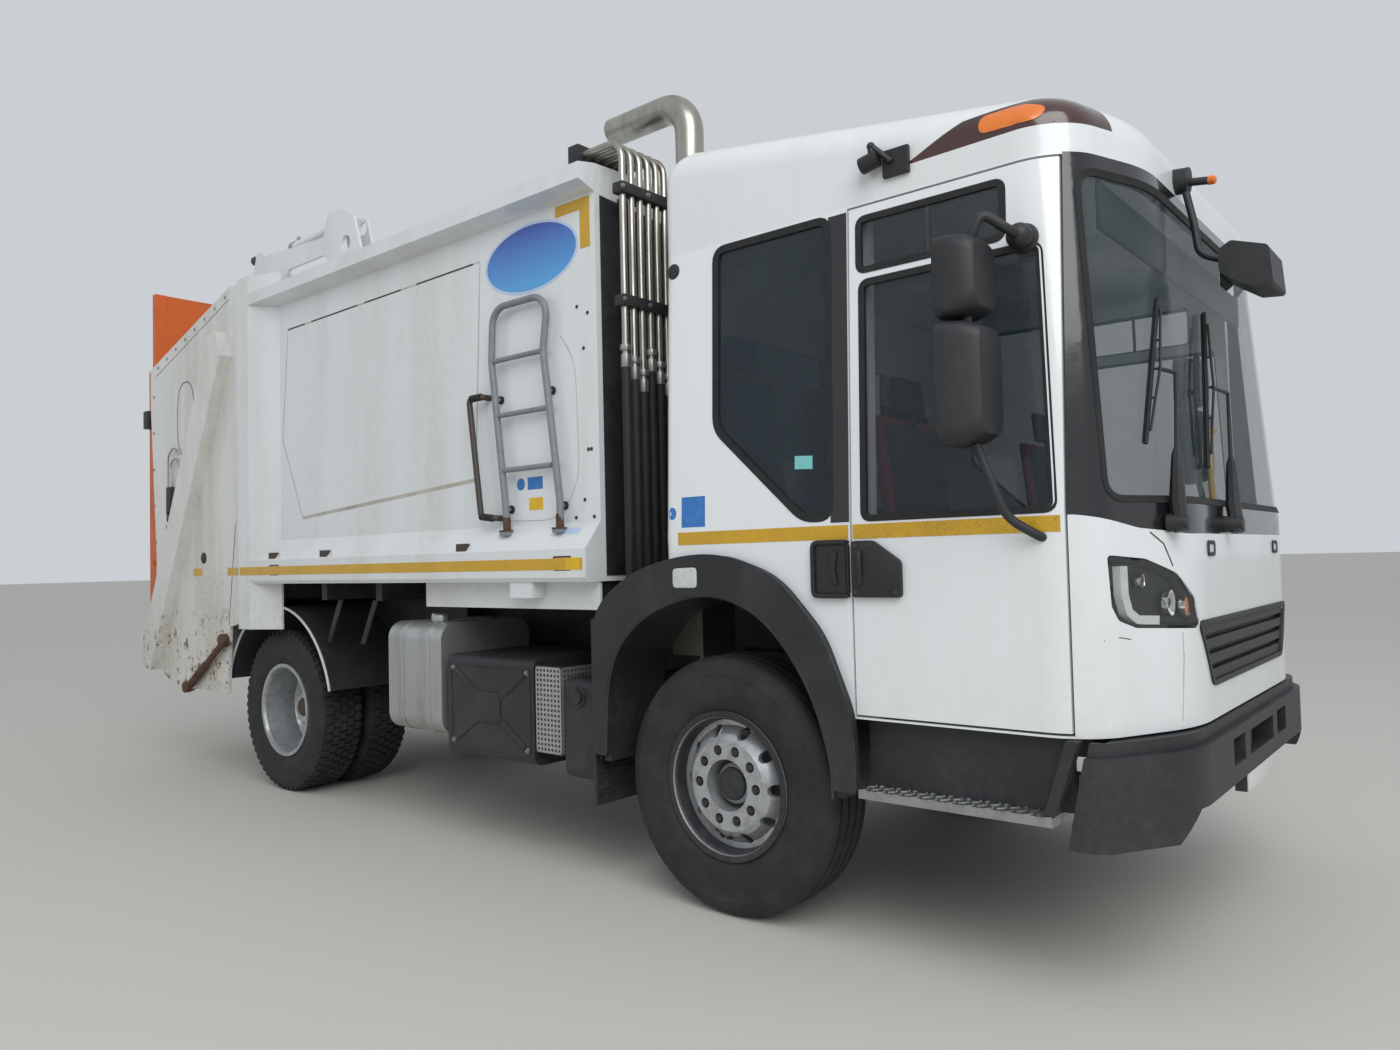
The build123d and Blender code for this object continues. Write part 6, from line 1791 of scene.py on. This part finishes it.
@dataclass
class Tailgate:
    """Stripes, pressings, valve, lock rams and seams on the tailgate, and the rams' bands."""

    shop: Workshop

    def side(self, sign: float, hand: str, side: Side) -> None:
        """The pieces of one side."""
        skin = self.shop.surface("tailgate_shell", "tailgate_beams")
        form = self.shop.form(Finish.YELLOW_TAPE)
        for start, end in ((4.035, 4.085), (4.1, 4.33), (4.72, 4.86), (5.33, 5.49)):
            skin.strip(form, [(start, SIZES.stripe_z), (end, SIZES.stripe_z)], SIZES.stripe_width, side)
        form.piece("tailgate_stripe_" + hand, "tailgate")
        form = self.shop.form(Finish.SEAM)
        skin.strip(form, [(4.12, 3.31), (4.14, 2.6), (4.2, 1.8), (4.315, 1.06)], 0.007, side, *FILM)
        skin.strip(form, ellipse(4.98, 2.55, 0.14, 0.27, 48, 0.75), 0.007, side, *FILM, closed=True)
        skin.strip(form, [(4.29, 3.3), (5.5, 2.93)], 0.004, side, *FILM)
        form.piece("tailgate_gaps_" + hand, "tailgate")
        form = self.shop.form(Finish.BLACK_PLASTIC)
        spot = skin.at(5.17, 1.9, side)
        for y, z, w, h in ((5.17, 1.96, 0.035, 0.1), (5.17, 1.84, 0.028, 0.035), (5.19, 1.73, 0.02, 0.05)):
            form.box((spot.x, spot.x + sign * 0.05), (y - w, y + w), (z - h, z + h))
        form.lathe([(0.0, 0.0), (0.0, 0.04), (0.006, 0.038), (0.008, 0.0)], skin.at(4.694, 1.527, side),
                   (sign, 0, 0), 24)
        form.paint(Finish.STAINLESS)
        x = spot.x + sign * 0.02
        form.tube(bent([(x, 5.2, 1.7), (x, 5.24, 1.8), (x, 5.24, 2.3), (x, 5.14, 2.36), (x, 5.06, 2.3)],
                       0.05), 0.006, 8)
        form.tube(bent([(x, 5.17, 2.05), (x, 5.2, 2.24), (x, 5.1, 2.28), (x, 5.05, 2.2)], 0.05), 0.006, 8)
        form.paint(Finish.RUSTY_STEEL)
        low, high = Vector((sign * 1.205, 4.87, 0.612)), Vector((sign * 1.205, 4.3, 0.96))
        way = (high - low).normalized()
        form.tube([low + way * 0.03, low + way * 0.32, low + way * 0.34, high - way * 0.02],
                  [0.028, 0.028, 0.022, 0.022], 16)
        for eye, radius in ((low, 0.04), (high, 0.046)):
            form.lathe([(0.0, 0.0), (0.0, radius), (0.04, radius), (0.044, radius * 0.9), (0.044, 0.0)],
                       Vector((sign * 1.195, eye.y, eye.z)), (sign, 0, 0), 20)
        form.piece("tailgate_fittings_" + hand, "tailgate", bevel=0.002)
        form = self.shop.form(Finish.ZINC)
        edge = [(4.36 + 0.16 * k, 3.345 - 0.0475 * k) for k in range(8)]
        edge += [(5.56, 2.8 - 0.28 * k) for k in range(5)]
        spots = [skin.at(y - 0.02, z - 0.02, side, 0.001) for y, z in edge]
        self.shop.bolts(form, Finish.ZINC, spots, (sign, 0, 0), (0.008, 0.005), (0.012, 0.002))
        form.piece("tailgate_bolts_" + hand, "tailgate")

    def rams(self) -> None:
        """Gland, end cap and port of each roof ram, and the coupling behind the hinge."""
        along = Vector((0.0, 0.99949, -0.03198))
        for sign, hand, _ in HANDS:
            foot = Vector((sign * 1.0, 3.067, 3.585))
            form = self.shop.form(Finish.ZINC)
            for reach in (0.05, 0.6):
                form.lathe([(0.0, 0.0362), (0.0, 0.042), (0.04, 0.042), (0.04, 0.0362)], foot + along * reach,
                           along, 32, ring=True)
            form.tube([foot + along * 0.58 + Vector((0, 0, 0.04)),
                       foot + along * 0.58 + Vector((0, 0, 0.065))], 0.012, 8)
            form.piece("ram_bands_" + hand, "ram_barrel_" + hand, bevel=0.0015)
            form = self.shop.form(Finish.DARK_STEEL)
            form.lathe([(0.0, 0.0), (0.0, 0.022), (0.05, 0.026), (0.06, 0.032), (0.13, 0.032), (0.14, 0.026),
                        (0.14, 0.0)], (sign * 0.995, 4.13, 3.585), (0, 1, 0.1), 20)
            form.piece("tailgate_coupling_" + hand, "tailgate")

    def build(self) -> None:
        """Builds the tailgate's pieces."""
        for sign, hand, side in HANDS:
            self.side(sign, hand, side)
        self.rams()


@dataclass
class BinLift:
    """Ribs, hoses, comb and lamps of the lift, and the tailgate's lamps and plates."""

    shop: Workshop

    def frame(self) -> None:
        """What is fixed to the lift's frame and to the hopper's rear."""
        form = self.shop.form(Finish.ORANGE_PAINT)
        for x in (-0.7, -0.35, 0.0, 0.35, 0.7):
            form.box((x - 0.02, x + 0.02), (5.64, 5.652), (3.09, 3.58))
        for z in (3.08, 3.34, 3.57):
            form.box((-1.05, 1.05), (5.64, 5.648), (z - 0.014, z + 0.014))
        form.paint(Finish.RUBBER)
        for path in (((-0.9, 5.6, 3.1), (-0.85, 5.6, 3.3), (-0.6, 5.6, 3.4), (-0.5, 5.6, 3.2)),
                     ((-0.8, 5.597, 3.08), (-0.75, 5.597, 3.35), (-0.4, 5.597, 3.5), (-0.3, 5.597, 3.1)),
                     ((-0.6, 5.597, 3.08), (-0.3, 5.597, 3.3), (0.2, 5.597, 3.3), (0.3, 5.597, 3.08))):
            form.tube(bent(path, 0.12), 0.012, 8)
        places = [(sign * 1.09, 5.661, 3.1 + 0.12 * k) for sign in (-1, 1) for k in range(5)]
        places += [(sign * 1.105, 5.731, 1.2 + 0.3 * k) for sign in (-1, 1) for k in range(6)]
        self.shop.bolts(form, Finish.ZINC, places, (0, 1, 0), (0.01, 0.008), (0.015, 0.003))
        form.piece("lift_frame_ribs", "tailgate", bevel=0.0015)

    def lamps(self) -> None:
        """Lenses of the tail lamps, high work lamps, rear reflectors and the blank rear plate."""
        form = self.shop.form(Finish.BLACK_PLASTIC)
        for sign in (-1, 1):
            form.box((sign * 1.034, sign * 1.156), (5.54, 5.58), (1.05, 1.27))
            form.box((sign * 1.128, sign * 1.174), (5.656, 5.735), (2.552, 2.688))
        form.box((-0.29, 0.29), (5.558, 5.564), (1.43, 1.45))
        for finish, low, high in ((Finish.RED_LENS, 1.19, 1.26), (Finish.AMBER_LENS, 1.125, 1.18),
                                  (Finish.LIGHT_BAR, 1.06, 1.115)):
            form.paint(finish)
            for sign in (-1, 1):
                form.box((sign * 1.045, sign * 1.145), (5.578, 5.59), (low, high))
        for finish, low, high in ((Finish.RED_LENS, 2.62, 2.68), (Finish.LIGHT_BAR, 2.56, 2.615)):
            form.paint(finish)
            for sign in (-1, 1):
                form.box((sign * 1.136, sign * 1.166), (5.733, 5.744), (low, high))
        form.paint(Finish.WHITE_TAPE)
        form.box((-0.26, 0.26), (5.56, 5.566), (1.41, 1.47))
        form.piece("tail_lamp_lenses", "tailgate", bevel=0.002, stands_for=("tail_lamps",))
        form = self.shop.form(Finish.WHITE_TAPE)
        form.box((-0.262, 0.262), (-1.7035, -1.6985), (0.545, 0.655))
        form.piece("front_plate", "chassis", bevel=0.0015)

    def chair(self) -> None:
        """Comb teeth, ribs and rubber stops on the tipping chair."""
        form = self.shop.form(Finish.ORANGE_PAINT)
        for k in range(21):
            x = -0.9 + 0.09 * k
            form.prism([(5.78, 1.44), (5.84, 1.44), (5.835, 1.5), (5.81, 1.52)], Axis.X, x - 0.012, x + 0.012)
        for x in (-0.75, -0.45, -0.15, 0.15, 0.45, 0.75):
            form.box((x - 0.02, x + 0.02), (5.73, 5.742), (0.93, 1.36))
        form.paint(Finish.RUBBER)
        for sign in (-1, 1):
            form.box((sign * 0.86, sign * 0.92), (5.728, 5.76), (1.0, 1.08))
        form.piece("lift_comb", "lift_chair", bevel=0.002)

    def build(self) -> None:
        """Builds the lift's pieces."""
        self.frame()
        self.lamps()
        self.chair()


@dataclass
class RoofFittings:
    """Glass and seams of what stands on the cab's roof and hangs before the screen."""

    shop: Workshop
    lit_part: tuple[Flat, ...] = ((-1.16, 2.83), (-1.36, 2.83), (-1.38, 2.875), (-1.3, 2.905), (-1.16, 2.895))

    def build(self) -> None:
        """Builds the pieces on the roof."""
        form = self.shop.form(Finish.MIRROR)
        form.prism(rounded(oblong((-0.51, -0.3), (2.34, 2.45)), 0.02), Axis.Y, -1.73, -1.7285)
        form.paint(Finish.CLEAR_LENS)
        form.lathe([(0.0, 0.0), (0.0, 0.022), (0.004, 0.018), (0.006, 0.0)], (-1.215, -0.735, 2.828),
                   (0, 1, -0.2), 20)
        form.paint(Finish.AMBER_LENS)
        form.lathe([(0.0, 0.0), (0.0, 0.016), (0.02, 0.016), (0.026, 0.01), (0.028, 0.0)],
                   (-0.418, -1.688, 2.748), (0, -1, -0.1), 16)
        form.piece("roof_glass", "chassis")
        skin = self.shop.surface("cab_roof", "beacon_lenses")
        form = self.shop.form(Finish.AMBER_LENS)
        for side in (Side.RIGHT, Side.LEFT):
            skin.patch(form, rounded(self.lit_part, 0.03, 8), side, 0.003, 0.004, 12)
        form.piece("beacon_lit_lenses", "chassis")
        form = self.shop.form(Finish.SEAM)
        for side in (Side.RIGHT, Side.LEFT):
            for y in (-1.2, -1.3, -1.4):
                skin.strip(form, [(y, 2.815), (y, 2.895)], 0.006, side, *FILM)
        form.piece("beacon_ribs", "chassis")


@dataclass(frozen=True)
class Studio:
    """Floor, light and camera."""

    floor_colour: str = "C9C6BF"
    sky_colour: str = "E6EBF0"
    sky_strength: float = 0.75
    lamp_size: float = 9.0
    lamp_energy: float = 900.0

    def floor(self) -> None:
        """A plain pale floor."""
        bpy.ops.mesh.primitive_plane_add(size=400.0)
        plane = bpy.context.object
        plane.name = "floor"
        material = bpy.data.materials.new("pale_floor")
        material.use_nodes = True
        surface = material.node_tree.nodes["Principled BSDF"]
        surface.inputs["Base Color"].default_value = srgb(self.floor_colour)
        surface.inputs["Roughness"].default_value = 0.8
        plane.data.materials.append(material)

    def light(self) -> None:
        """A soft sky and one large soft key lamp."""
        world = bpy.data.worlds.new("studio")
        bpy.context.scene.world = world
        world.use_nodes = True
        back = world.node_tree.nodes["Background"]
        back.inputs["Color"].default_value = srgb(self.sky_colour)
        back.inputs["Strength"].default_value = self.sky_strength
        lamp = bpy.data.lights.new("key", "AREA")
        lamp.size = self.lamp_size
        lamp.energy = self.lamp_energy
        key = bpy.data.objects.new("key", lamp)
        key.location = (-7.0, -9.0, 9.0)
        key.rotation_euler = Vector((7.0, 9.0, -8.0)).to_track_quat("-Z", "Y").to_euler()
        bpy.context.scene.collection.objects.link(key)

    def camera(self, place: CameraPlace) -> None:
        """The photograph's camera.

        Args:
            place: Where it stands and how it is turned.
        """
        data = bpy.data.cameras.new("camera")
        data.sensor_width = place.sensor_mm
        data.lens = place.focal_px / place.width_px * place.sensor_mm
        data.clip_end = 500.0
        camera = bpy.data.objects.new("camera", data)
        azimuth, pitch, roll = (math.radians(v) for v in (place.azimuth, place.pitch, place.roll))
        ahead = Vector((-math.sin(azimuth) * math.cos(pitch), math.cos(azimuth) * math.cos(pitch),
                        math.sin(pitch)))
        level = Vector((math.cos(azimuth), math.sin(azimuth), 0.0))
        upright = level.cross(ahead)
        right = level * math.cos(roll) + upright * math.sin(roll)
        up = upright * math.cos(roll) - level * math.sin(roll)
        turn = Matrix((right, up, -ahead)).transposed()
        camera.matrix_world = Matrix.Translation(Vector(place.location) + SHIFT) @ turn.to_4x4()
        bpy.context.scene.collection.objects.link(camera)
        bpy.context.scene.camera = camera


def main() -> None:
    """Builds the whole scene."""
    logging.basicConfig(level=logging.INFO)
    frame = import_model()
    studio = Studio()
    studio.camera(CameraPlace())
    studio.floor()
    studio.light()
    bpy.context.scene.view_settings.view_transform = "Standard"
    shop = Workshop(frame["nodes"], MaterialLibrary(), Fasteners(), TreadBlocks(), Tiles())
    shop.dress_nodes()
    for part in (FrontFace, CabSides, CabInside, RoofFittings, Wheels, Undercarriage, PipesAndStack, LoadBody,
                 Tailgate, BinLift):
        part(shop).build()


if __name__ == "__main__":
    main()
